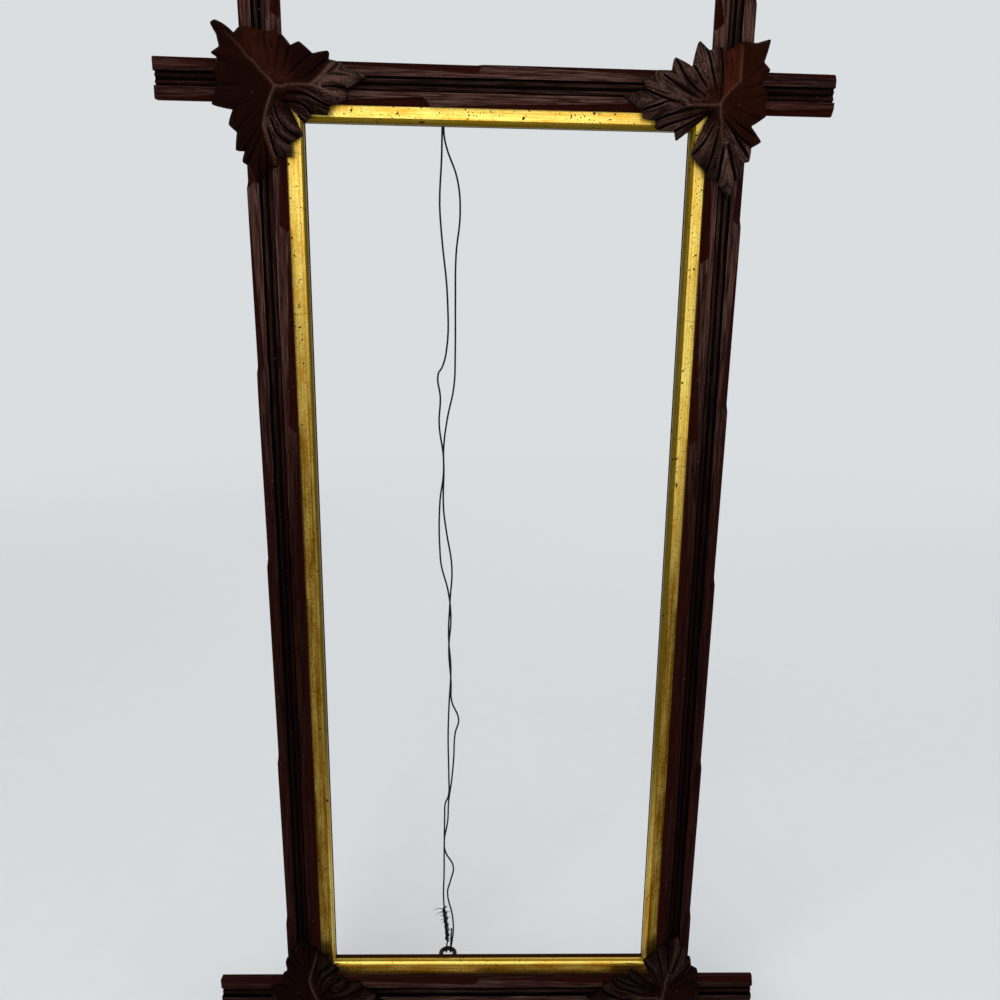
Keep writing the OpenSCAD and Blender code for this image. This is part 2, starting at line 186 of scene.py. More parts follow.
class Signal:
    """One output of a node, with arithmetic that adds Math nodes to its tree."""

    def __init__(self, nodes: "NodeBench", socket: bpy.types.NodeSocket) -> None:
        """Keeps the socket and the bench that made it."""
        self.nodes = nodes
        self.socket = socket

    def _math(self, operation: str, *terms: "Signal | float") -> "Signal":
        """Adds one Math node on the terms."""
        return self.nodes.add("ShaderNodeMath", {"operation": operation}, dict(enumerate(terms)))

    def __add__(self, other: "Signal | float") -> "Signal":
        """Adds."""
        return self._math("ADD", self, other)

    def __radd__(self, other: float) -> "Signal":
        """Adds to a number."""
        return self._math("ADD", other, self)

    def __sub__(self, other: "Signal | float") -> "Signal":
        """Subtracts."""
        return self._math("SUBTRACT", self, other)

    def __rsub__(self, other: float) -> "Signal":
        """Subtracts from a number."""
        return self._math("SUBTRACT", other, self)

    def __mul__(self, other: "Signal | float") -> "Signal":
        """Multiplies."""
        return self._math("MULTIPLY", self, other)

    def __rmul__(self, other: float) -> "Signal":
        """Multiplies a number."""
        return self._math("MULTIPLY", other, self)

    def __abs__(self) -> "Signal":
        """Drops the sign."""
        return self.compute("ABSOLUTE")

    def compute(self, operation: str, *others: "Signal | float") -> "Signal":
        """Adds any other Math node, on this signal and then on the others."""
        return self._math(operation, self, *others)

    def step(self, low: float, high: float) -> "Signal":
        """Rises smoothly from 0 at low to 1 at high, or falls where high is the lower."""
        settings = {"interpolation_type": "SMOOTHSTEP"}
        return self.nodes.add("ShaderNodeMapRange", settings, {0: self, 1: low, 2: high, 3: 0.0, 4: 1.0})

    def beside(self, output: str) -> "Signal":
        """Gives another output of the same node."""
        return Signal(self.nodes, self.socket.node.outputs[output])


Feed = Signal | float | str | Sequence[float] | bpy.types.Material


class Axis(Enum):
    """The way that a piece's grain runs, by the number of its axis."""

    ACROSS = 0
    UP = 2


@dataclass(frozen=True)
class Grain:
    """One layer of noise.

    Attributes:
        across: Waves per metre across the grain.
        along: Waves per metre along it.
        detail: How many finer layers are added.
        shift: Moves the pattern, so that two grains differ.
        span: The noise that counts as none of the grain, and as all of it.
    """

    across: float
    along: float
    detail: float
    shift: float = 0.0
    span: Pair = (0.4, 0.6)

    def scale(self, axis: Axis) -> Triple:
        """Gives the waves per metre on X, Y and Z for a grain along one axis."""
        x, y, z = (self.along if number == axis.value else self.across for number in range(3))
        return x, y, z


class NodeBench:
    """Builds one node tree, for a material or for geometry."""

    def __init__(self, tree: bpy.types.NodeTree) -> None:
        """Keeps the tree."""
        self.tree = tree

    def add(
        self,
        kind: str,
        settings: dict[str, object] | None = None,
        sockets: "dict[str | int, Feed] | None" = None,
        out: str | int = 0,
    ) -> Signal:
        """Adds a node, sets it and feeds its sockets.

        Args:
            kind: The node's type.
            settings: Its properties, set before its sockets.
            sockets: A value or a signal for each named or numbered input.
            out: The output that is wanted.

        Returns:
            That output.
        """
        node = self.tree.nodes.new(kind)
        for name, value in (settings or {}).items():
            setattr(node, name, value)
        for key, value in (sockets or {}).items():
            self._feed(node.inputs[key], value)
        return Signal(self, node.outputs[out]) if len(node.outputs) else Signal(self, node.inputs[0])

    def _feed(self, socket: bpy.types.NodeSocket, value: Feed) -> None:
        """Links a signal to a socket, or sets the socket's own value.

        Args:
            socket: A node's input.
            value: The signal or value that it gets.
        """
        if isinstance(value, Signal):
            self.tree.links.new(value.socket, socket)
        elif socket.type == "RGBA" and len(value) == 3:
            socket.default_value = (*value, 1.0)
        else:
            socket.default_value = value

    def mix(self, share: "Signal | float", low: "Signal | Colour", high: "Signal | Colour") -> Signal:
        """Goes from one colour to another as share goes from 0 to 1."""
        return self.add("ShaderNodeMix", {"data_type": "RGBA"}, {0: share, 6: low, 7: high}, out=2)

    def grain(self, place: Signal, grain: Grain, axis: Axis = Axis.UP) -> Signal:
        """Makes noise.

        Args:
            place: Where the noise is read, such as object coordinates.
            grain: Its waves, detail and shift.
            axis: The way that the grain runs.

        Returns:
            The noise, from 0 to 1.
        """
        location = (grain.shift, grain.shift, grain.shift)
        stretched = self.add(
            "ShaderNodeMapping", {}, {"Vector": place, "Location": location, "Scale": grain.scale(axis)}
        )
        return self.add("ShaderNodeTexNoise", {}, {"Vector": stretched, "Scale": 1.0, "Detail": grain.detail})

    def bump(self, height: Signal, distance: float, strength: float) -> Signal:
        """Tilts the surface by a height of the given size in metres."""
        return self.add("ShaderNodeBump", {}, {"Strength": strength, "Distance": distance, "Height": height})

    def join(self, first: Signal, second: Signal) -> Signal:
        """Joins two geometries.

        Args:
            first: One geometry.
            second: The other.

        Returns:
            Both as one.
        """
        both = self.add("GeometryNodeJoinGeometry", {}, {"Geometry": first})
        self.tree.links.new(second.socket, both.socket.node.inputs["Geometry"])
        return both

    def dress(self, shape: Signal, finish: Signal) -> None:
        """Ends a geometry tree: its instances are made real and get their material.

        Args:
            shape: The whole shape.
            finish: Its material.
        """
        real = self.add("GeometryNodeRealizeInstances", {}, {"Geometry": shape})
        dressed = self.add("GeometryNodeSetMaterial", {}, {"Geometry": real, "Material": finish})
        self.add("NodeGroupOutput", {}, {"Geometry": dressed})


class Finish:
    """A surface finish: its paint method lays out the nodes of one material."""

    name: str

    def paint(self, nodes: NodeBench, place: Signal, zone: Signal) -> dict[str, Feed]:
        """Gives what feeds each socket of the shader."""
        raise NotImplementedError

    def surface(self, nodes: NodeBench, place: Signal, zone: Signal) -> Signal:
        """Gives the finish's shader."""
        return nodes.add("ShaderNodeBsdfPrincipled", {}, self.paint(nodes, place, zone))

    def material(self) -> bpy.types.Material:
        """Makes the material, or finds it if an earlier piece has it.

        Returns:
            The finish's material.
        """
        made = bpy.data.materials.get(self.name)
        if made:
            return made
        made = bpy.data.materials.new(self.name)
        made.use_nodes = True
        made.node_tree.nodes.clear()
        nodes = NodeBench(made.node_tree)
        place = nodes.add("ShaderNodeTexCoord", out="Object")
        zone = nodes.add("ShaderNodeAttribute", {"attribute_name": ZONE}, out="Color")
        nodes.add("ShaderNodeOutputMaterial", {}, {"Surface": self.surface(nodes, place, zone)})
        return made


@dataclass(frozen=True)
class BarVarnish(Finish):
    """Old dark varnish on a carved bar, worn grey with painted sheen, painted darker lower down, with a bare
    back.

    The zone colour holds the chamfers in red, the channel in green and the arrises in blue, and
    bare wood in alpha. The channel is painted near black as the shade in its recess.
    """

    name: str
    axis: Axis
    # The share of the worn grey with its painted sheen that is kept at the bottom.
    least_wear_and_sheen: float
    arm_from: float
    dark: Colour = srgb(15, 4, 3)
    warm: Colour = srgb(51, 17, 11)
    # Grey of real wear mixed with painted sheen on the faces and arrises.
    worn: Colour = srgb(106, 79, 71)
    cut: Colour = srgb(38, 9, 5)
    # Near black for the channel's painted shade and for the dark pores.
    pore_and_shade_black: Colour = srgb(3, 2, 2)
    bare: Colour = srgb(112, 78, 52)
    bare_dark: Colour = srgb(70, 45, 30)
    lint: Colour = srgb(150, 126, 116)
    fibre: Grain = Grain(1700.0, 60.0, 5.0, span=(0.4, 0.58))
    figure: Grain = Grain(420.0, 11.0, 3.0, 3.7)
    pores: Grain = Grain(2600.0, 140.0, 2.0, 8.1, (0.58, 0.68))
    patch: Grain = Grain(780.0, 30.0, 4.0, 5.3, (0.4, 0.6))
    fluff: Grain = Grain(700.0, 700.0, 2.0, 9.2, (0.7, 0.75))
    fluffy: Pair = (0.5, 0.56)
    tones: Pair = (0.4, 0.6)
    # Heights where the bars' painted light from above starts and where it is full.
    top_light_from: float = 0.33
    top_light_to: float = 0.6
    arm_fade: float = 0.014
    arm_dark: float = 0.65
    shine: float = 0.012
    relief: float = 0.0005

    def paint(self, nodes: NodeBench, place: Signal, zone: Signal) -> dict[str, Feed]:
        """Layers the varnish, painted darker lower down as shade, its wear with painted sheen, the painted
        shade in the channel and the bare back.

        Args:
            nodes: The material's nodes.
            place: Object coordinates.
            zone: The zone colour.

        Returns:
            What feeds each socket of the shader.
        """
        cut = nodes.add("ShaderNodeSeparateColor", {}, {"Color": zone})
        channel, arris, bare = cut.beside("Green"), cut.beside("Blue"), zone.beside("Alpha")
        fibre, figure, pores, patch, fluff = (
            nodes.grain(place, grain, self.axis)
            for grain in (self.fibre, self.figure, self.pores, self.patch, self.fluff)
        )
        axes = nodes.add("ShaderNodeSeparateXYZ", {}, {"Vector": place})
        # Painted light from above: the bars are painted darker lower down, and their worn grey with its
        # painted sheen fades there.
        top_light = axes.beside("Z").step(self.top_light_from, self.top_light_to)
        tone = (figure * 0.6 + fibre * 0.4).step(*self.tones)
        colour = nodes.mix(tone * (0.45 + 0.55 * top_light), self.dark, self.warm)
        # Worn grey on the faces and arrises: partly real wear, partly painted sheen that fades lower down.
        wear_and_sheen = arris * 0.7 + 0.6 * (1.0 - cut) * (1.0 - channel)
        wear_and_sheen = wear_and_sheen * (0.4 + 0.6 * patch.step(*self.patch.span))
        wear_and_sheen = wear_and_sheen * (self.least_wear_and_sheen + (1.0 - self.least_wear_and_sheen) * top_light)
        along = axes.beside("XYZ"[self.axis.value])
        arm = abs(along).step(self.arm_from, self.arm_from + self.arm_fade)
        wear_and_sheen = wear_and_sheen * (1.0 - self.arm_dark * arm)
        colour = nodes.mix(wear_and_sheen * (0.2 + 0.8 * fibre.step(*self.fibre.span)), colour, self.worn)
        colour = nodes.mix(cut * 0.6, colour, self.cut)
        # Painted shade: the channel is painted near black as the shade in its recess; the pores take the same
        # dark.
        colour = nodes.mix(channel * 0.92, colour, self.pore_and_shade_black)
        colour = nodes.mix(pores.step(*self.pores.span) * 0.6, colour, self.pore_and_shade_black)
        lint = fluff.step(*self.fluff.span) * patch.step(*self.fluffy)
        colour = nodes.mix(lint * (0.15 + 0.3 * fibre), colour, self.lint)
        colour = nodes.mix(bare, colour, nodes.mix(tone, self.bare_dark, self.bare))
        return {
            "Base Color": colour,
            "Roughness": 0.4 + 0.2 * fibre + 0.12 * top_light + 0.2 * channel + 0.2 * bare,
            "Specular IOR Level": self.shine,
            "Normal": nodes.bump(fibre * 0.6 + pores * 0.4, self.relief, 0.9),
        }


@dataclass(frozen=True)
class LeafVarnish(Finish):
    """A carved leaf: glossy red-brown where its varnish is whole, dull grey-brown elsewhere.

    The zone colour holds the grooves in red, the glossy part in green and the veins in blue, and
    the cut edge in alpha; grooves and edge are painted dark as their shade. The carve colour holds
    the varnish's tone with painted light and shade in red, and the distance from the nearest groove
    in green, in centimetres.
    """

    name: str
    dull_dark: Colour = srgb(12, 4, 2)
    dull_light: Colour = srgb(112, 82, 72)
    red_dark: Colour = srgb(13, 3, 1)
    red_light: Colour = srgb(72, 29, 17)
    # Near black for the painted shade in the grooves and on the cut edge.
    groove_and_edge_shade: Colour = srgb(5, 2, 2)
    # Pale for the raised veins: worn varnish with a painted highlight along them.
    vein: Colour = srgb(126, 92, 78)
    lines: Grain = Grain(1.0, 1.0, 4.0, 1.3, (0.38, 0.6))
    speck: Grain = Grain(1700.0, 1700.0, 3.0, 2.2, (0.36, 0.66))
    patch: Grain = Grain(110.0, 110.0, 4.0, 6.4, (0.32, 0.68))
    vein_specks: Pair = (0.35, 0.6)
    # Painted highlight along the ridges and on the crests between grooves, by the distance from the nearest
    # groove.
    ridge_highlight_in: Pair = (0.05, 0.085)
    ridge_highlight_out: Pair = (0.17, 0.11)
    crest: Pair = (0.03, 0.14)
    groove_shade_span: Pair = (0.15, 0.65)
    line_waves: float = 9.0
    line_sway: float = 70.0
    shine: float = 0.01
    relief: float = 0.0012

    def paint(self, nodes: NodeBench, place: Signal, zone: Signal) -> dict[str, Feed]:
        """Layers the two tones, the lines beside the grooves, the pale veins with their painted highlight,
        the painted highlight on ridges and crests, and the painted shade in the grooves and on the edge.

        Args:
            nodes: The material's nodes.
            place: Object coordinates.
            zone: The zone colour.

        Returns:
            What feeds each socket of the shader.
        """
        groove = nodes.add("ShaderNodeSeparateColor", {}, {"Color": zone})
        gloss, vein, edge = groove.beside("Green"), groove.beside("Blue"), zone.beside("Alpha")
        carve = nodes.add("ShaderNodeAttribute", {"attribute_name": CARVE}, out="Color")
        light = nodes.add("ShaderNodeSeparateColor", {}, {"Color": carve})
        apart = (0.0, self.line_waves, 0.0)
        spread = nodes.add("ShaderNodeVectorMath", {"operation": "MULTIPLY"}, {0: carve, 1: apart})
        slow = nodes.add("ShaderNodeVectorMath", {"operation": "SCALE"}, {0: place, "Scale": self.line_sway})
        lane = nodes.add("ShaderNodeVectorMath", {"operation": "ADD"}, {0: spread, 1: slow})
        lines = nodes.grain(lane, self.lines)
        speck, patch = nodes.grain(place, self.speck), nodes.grain(place, self.patch)
        line, dot = lines.step(*self.lines.span), speck.step(*self.speck.span)
        mottle = patch.step(*self.patch.span)
        off_groove = light.beside("Green")
        # Painted highlight: the ridges and crests between the grooves are painted lighter.
        ridge_highlight = off_groove.step(*self.ridge_highlight_in) * off_groove.step(*self.ridge_highlight_out)
        crest = off_groove.step(*self.crest)
        tone = (0.45 + 0.45 * crest + 0.5 * ridge_highlight) * (0.12 + 0.88 * line)
        tone = tone * (0.25 + 0.85 * dot) * (0.6 + 0.8 * patch)
        # Both tones follow the carve colour's red, which holds the painted light and shade.
        dull = nodes.mix(tone * light, self.dull_dark, self.dull_light)
        whole = light * (0.3 + 0.5 * line + 0.5 * mottle + 0.35 * dot)
        red = nodes.mix(whole, self.red_dark, self.red_light)
        colour = nodes.mix(gloss, dull, red)
        # The raised veins are painted pale, partly worn varnish and partly a painted highlight, paler where
        # the painted light is.
        pale = vein * (0.3 + 0.7 * speck.step(*self.vein_specks)) * (0.3 + 0.7 * light)
        colour = nodes.mix(pale, colour, self.vein)
        # Painted shade in the grooves and on the cut edge.
        colour = nodes.mix(groove.step(*self.groove_shade_span) * 0.95, colour, self.groove_and_edge_shade)
        colour = nodes.mix(edge * 0.75, colour, self.groove_and_edge_shade)
        relief = lines * 0.6 + speck * 0.4
        return {
            "Base Color": colour,
            "Roughness": 0.56 - 0.16 * gloss + 0.14 * speck,
            "Specular IOR Level": self.shine,
            "Normal": nodes.bump(relief * (1.0 - 0.6 * gloss), self.relief, 0.9),
        }


@dataclass(frozen=True)
class GoldLeaf(Finish):
    """Old gold leaf on a liner stick: lengthwise streaks, leaf joins and dark specks, with painted shade
    lower down and on the bead.

    The zone colour holds bare wood in red, the bead in green, which is painted olive as shade higher up, and
    the bead's parts with painted shade at every height in blue.
    """

    name: str
    axis: Axis
    bright: Colour = srgb(253, 228, 118)
    deep: Colour = srgb(218, 158, 40)
    # Dark amber for the painted shade on the gold lower down, where it reflects less light.
    lower_shade: Colour = srgb(96, 60, 3)
    # Olive for the real leaf joins and for the painted shade on the bead.
    join_and_shade_olive: Colour = srgb(92, 72, 4)
    speck: Colour = srgb(46, 28, 10)
    bare: Colour = srgb(40, 22, 12)
    lower_shade_from: float = 0.58
    lower_shade_full: float = 0.27
    # Height above which the bead is painted olive as shade; below it the bead stays bright as a painted
    # highlight.
    bead_shade_from: float = 0.12
    bead_lower_shade: float = 0.4
    bead_fade: float = 0.13
    leaf_length: float = 0.083
    leaf_sway: float = 0.004
    leaf_join: float = 0.0007
    streak: Grain = Grain(1500.0, 14.0, 4.0, span=(0.56, 0.68))
    cloud: Grain = Grain(230.0, 45.0, 3.0, 4.4, (0.38, 0.54))
    fine: Grain = Grain(900.0, 900.0, 2.0, 1.9, (0.625, 0.675))
    coarse: Grain = Grain(330.0, 330.0, 3.0, 7.7, (0.68, 0.71))
    tones: Pair = (0.37, 0.61)
    relief: float = 0.00016

    def paint(self, nodes: NodeBench, place: Signal, zone: Signal) -> dict[str, Feed]:
        """Layers the gold, its streaks and joins, its painted shade lower down and on the bead, the worn
        specks and the bare wood.

        Args:
            nodes: The material's nodes.
            place: Object coordinates.
            zone: The zone colour.

        Returns:
            What feeds each socket of the shader.
        """
        bare = nodes.add("ShaderNodeSeparateColor", {}, {"Color": zone})
        bead = bare.beside("Green")
        streak, cloud, fine, coarse = (
            nodes.grain(place, grain, self.axis)
            for grain in (self.streak, self.cloud, self.fine, self.coarse)
        )
        axes = nodes.add("ShaderNodeSeparateXYZ", {}, {"Vector": place})
        along = axes.beside("XYZ"[self.axis.value])
        swayed = along + cloud * self.leaf_sway
        leaf_end = swayed.compute("PINGPONG", self.leaf_length / 2).step(self.leaf_join, 0.0)
        tone = (streak * 0.45 + cloud * 0.3 + fine * 0.25).step(*self.tones)
        height = axes.beside("Z")
        colour = nodes.mix(tone, self.deep, self.bright)
        # Painted shade: the gold is painted darker amber lower down; the bead takes less of it and stays
        # bright as a painted highlight.
        lower_shade = height.step(self.lower_shade_from, self.lower_shade_full) * (1.0 - (1.0 - self.bead_lower_shade) * bead)
        colour = nodes.mix(lower_shade * (1.0 - 0.3 * tone), colour, self.lower_shade)
        colour = nodes.mix(leaf_end * 0.35, colour, self.join_and_shade_olive)
        # Painted shade: higher up the bead is painted olive, as it turns away from the light.
        bead_shading = bead * height.step(self.bead_shade_from, self.bead_shade_from + self.bead_fade)
        colour = nodes.mix(bead_shading * (0.99 - 0.1 * streak), colour, self.join_and_shade_olive)
        # Painted shade at every height on the bead's parts that the zone's blue marks.
        colour = nodes.mix(bare.beside("Blue") * 0.75, colour, self.join_and_shade_olive)
        # Dark streaks, laid only where the painted shade lower down is.
        colour = nodes.mix(lower_shade * streak.step(*self.streak.span) * 0.6, colour, self.speck)
        spots = fine.step(*self.fine.span) * cloud.step(*self.cloud.span)
        worn = (spots + coarse.step(*self.coarse.span)).compute("MINIMUM", 1.0)
        colour = nodes.mix(worn, colour, self.speck)
        colour = nodes.mix(bare, colour, nodes.mix(tone, self.speck, self.bare))
        sound = (1.0 - bare) * (1.0 - worn)
        return {
            "Base Color": colour,
            "Metallic": sound * 0.85,
            "Roughness": 0.27 + 0.1 * streak + 0.3 * worn + 0.35 * bare,
            "Specular IOR Level": 0.0,
            "Normal": nodes.bump(streak * 0.5 + fine * 0.2, self.relief, 0.5),
        }


@dataclass(frozen=True)
class BrownedIron(Finish):
    """Dark iron with brown rust in patches."""

    name: str
    iron: Colour = srgb(34, 29, 28)
    rust: Colour = srgb(52, 30, 20)
    shine: float = 0.8
    mottle: Grain = Grain(700.0, 700.0, 4.0, span=(0.45, 0.65))
    pits: Grain = Grain(2600.0, 2600.0, 2.0, 3.3)
    relief: float = 0.00008

    def paint(self, nodes: NodeBench, place: Signal, zone: Signal) -> dict[str, Feed]:
        """Mottles the iron with rust.

        Args:
            nodes: The material's nodes.
            place: Object coordinates.
            zone: The zone colour.

        Returns:
            What feeds each socket of the shader.
        """
        rust = nodes.grain(place, self.mottle).step(*self.mottle.span)
        return {
            "Base Color": nodes.mix(rust, self.iron, self.rust),
            "Metallic": self.shine - 0.5 * rust,
            "Roughness": 0.34 + 0.3 * rust,
            "Specular IOR Level": 0.1,
            "Normal": nodes.bump(nodes.grain(place, self.pits), self.relief, 0.6),
        }


@dataclass(frozen=True)
class FrameSizes:
    """Places that the sub-assemblies share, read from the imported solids."""

    middle_z: float
    front_y: float
    back_y: float
    bar_x: float
    bar_z: float
    bar_w: float
    end_x: float
    end_z: float
    sight_x: float
    sight_z: float

    @classmethod
    def read(cls) -> "FrameSizes":
        """Measures the solids' boxes.

        Returns:
            The shared places, in metres.
        """
        stile_low, stile_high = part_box("stile_right")
        rail_low, rail_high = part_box("rail_top")
        middle_z = (stile_low.z + stile_high.z) / 2
        return cls(
            middle_z=middle_z,
            front_y=stile_low.y,
            back_y=stile_high.y,
            bar_x=stile_low.x,
            bar_z=rail_low.z - middle_z,
            bar_w=stile_high.x - stile_low.x,
            end_x=rail_high.x,
            end_z=stile_high.z - middle_z,
            sight_x=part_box("liner_right")[0].x,
            sight_z=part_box("liner_top")[0].z - middle_z,
        )

    @property
    def cross_x(self) -> float:
        """Distance of a crossing's centre from the middle, across."""
        return self.bar_x + self.bar_w / 2

    @property
    def cross_z(self) -> float:
        """Distance of a crossing's centre from the middle, up."""
        return self.bar_z + self.bar_w / 2

    @property
    def bar_t(self) -> float:
        """Thickness of the bars."""
        return self.back_y - self.front_y


class Bench:
    """Turns meshes into pieces of the scene and ties them to the frame."""

    def __init__(self, scene: bpy.types.Scene) -> None:
        """Keeps the scene that the pieces go in."""
        self.scene = scene

    def show(self, name: str, data: bpy.types.ID) -> bpy.types.Object:
        """Makes an object at the origin and links it.

        Args:
            name: The object's name.
            data: Its mesh, curve, lamp or camera.

        Returns:
            The object.
        """
        made = bpy.data.objects.new(name, data)
        self.scene.collection.objects.link(made)
        return made

    def piece(
        self, name: str, shape: bmesh.types.BMesh, finish: Finish, crease: float = 35.0
    ) -> bpy.types.Object:
        """Makes a smooth-shaded piece from a shape, sharp at its creases.

        Args:
            name: The piece's name.
            shape: Its shape, which is freed.
            finish: Its finish.
            crease: Edges that turn by more degrees than this stay sharp.

        Returns:
            The piece, not yet tied to the frame.
        """
        mesh = bpy.data.meshes.new(name)
        shape.to_mesh(mesh)
        shape.free()
        self.smooth(mesh, crease)
        mesh.materials.append(finish.material())
        return self.show(name, mesh)

    @staticmethod
    def smooth(mesh: bpy.types.Mesh, crease: float) -> None:
        """Shades a mesh smooth, apart from edges that turn by more degrees than the crease."""
        mesh.shade_smooth()
        mesh.set_sharp_from_angle(angle=math.radians(crease))

    def settle(self, made: bpy.types.Object, slot: str, *nodes: str) -> bpy.types.Object:
        """Ties a finished piece to the frame's one body.

        Args:
            made: The piece.
            slot: Not used.
            nodes: The solids that the piece stands for.

        Returns:
            The same piece.
        """
        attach(made, BODY)
        if nodes:
            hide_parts(*nodes)
        faces = len(made.data.polygons) if made.type == "MESH" else 0
        LOG.info("%s: %d faces, for %s", made.name, faces, ", ".join(nodes) or "no solid")
        return made

    def run_nodes(
        self, made: bpy.types.Object, tree: bpy.types.NodeTree, values: dict[str, object]
    ) -> bpy.types.Mesh:
        """Runs geometry nodes on an object and gives the plain mesh.

        Args:
            made: The object with the nodes' input shape.
            tree: The geometry nodes.
            values: A value for each named input.

        Returns:
            The result, with no modifier left on the object.
        """
        runner = made.modifiers.new(tree.name, "NODES")
        runner.node_group = tree
        for item in tree.interface.items_tree:
            if item.item_type == "SOCKET" and item.in_out == "INPUT" and item.name in values:
                runner[item.identifier] = values[item.name]
        bpy.context.view_layer.update()
        ready = made.evaluated_get(bpy.context.evaluated_depsgraph_get())
        mesh = bpy.data.meshes.new_from_object(ready)
        made.modifiers.remove(runner)
        return mesh


def geometry_tree(name: str, inputs: dict[str, str]) -> tuple[NodeBench, dict[str, Signal]]:
    """Starts a geometry tree.

    Args:
        name: The tree's name.
        inputs: The socket type of each named input.

    Returns:
        The bench, and a signal for each input, the geometry among them.
    """
    tree = bpy.data.node_groups.new(name, "GeometryNodeTree")
    tree.interface.new_socket("Geometry", in_out="INPUT", socket_type="NodeSocketGeometry")
    for label, kind in inputs.items():
        tree.interface.new_socket(label, in_out="INPUT", socket_type=kind)
    tree.interface.new_socket("Geometry", in_out="OUTPUT", socket_type="NodeSocketGeometry")
    nodes = NodeBench(tree)
    first = nodes.add("NodeGroupInput")
    return nodes, {label: first.beside(label) for label in ["Geometry", *inputs]}


class Run(Enum):
    """The way that a bar runs."""

    STILE = "stile"
    RAIL = "rail"


BAR_VARNISH = {
    Run.STILE: BarVarnish("bar_varnish_up", Axis.UP, least_wear_and_sheen=0.06, arm_from=1.0),
    Run.RAIL: BarVarnish("bar_varnish_across", Axis.ACROSS, least_wear_and_sheen=0.65, arm_from=0.128),
}


class Strip(Enum):
    """What a strip of a bar's surface is: its zone colour, before the chamfer's own share."""

    CHAMFER = (0.0, 0.0, 1.0, 0.0)
    FACE = (0.0, 0.0, 0.0, 0.0)
    ARRIS = (0.0, 0.0, 0.8, 0.0)
    # The channel: its full painted shade.
    WALL = (0.0, 1.0, 0.0, 0.0)
    # A reed: half the channel's painted shade and some worn grey with painted sheen, so its crest shows as a
    # lighter line.
    REED = (0.0, 0.55, 0.5, 0.0)
    SIDE = (0.35, 0.0, 0.0, 0.0)
    BARE = (0.0, 0.0, 0.0, 1.0)
    END = (0.0, 0.0, 0.35, 0.35)


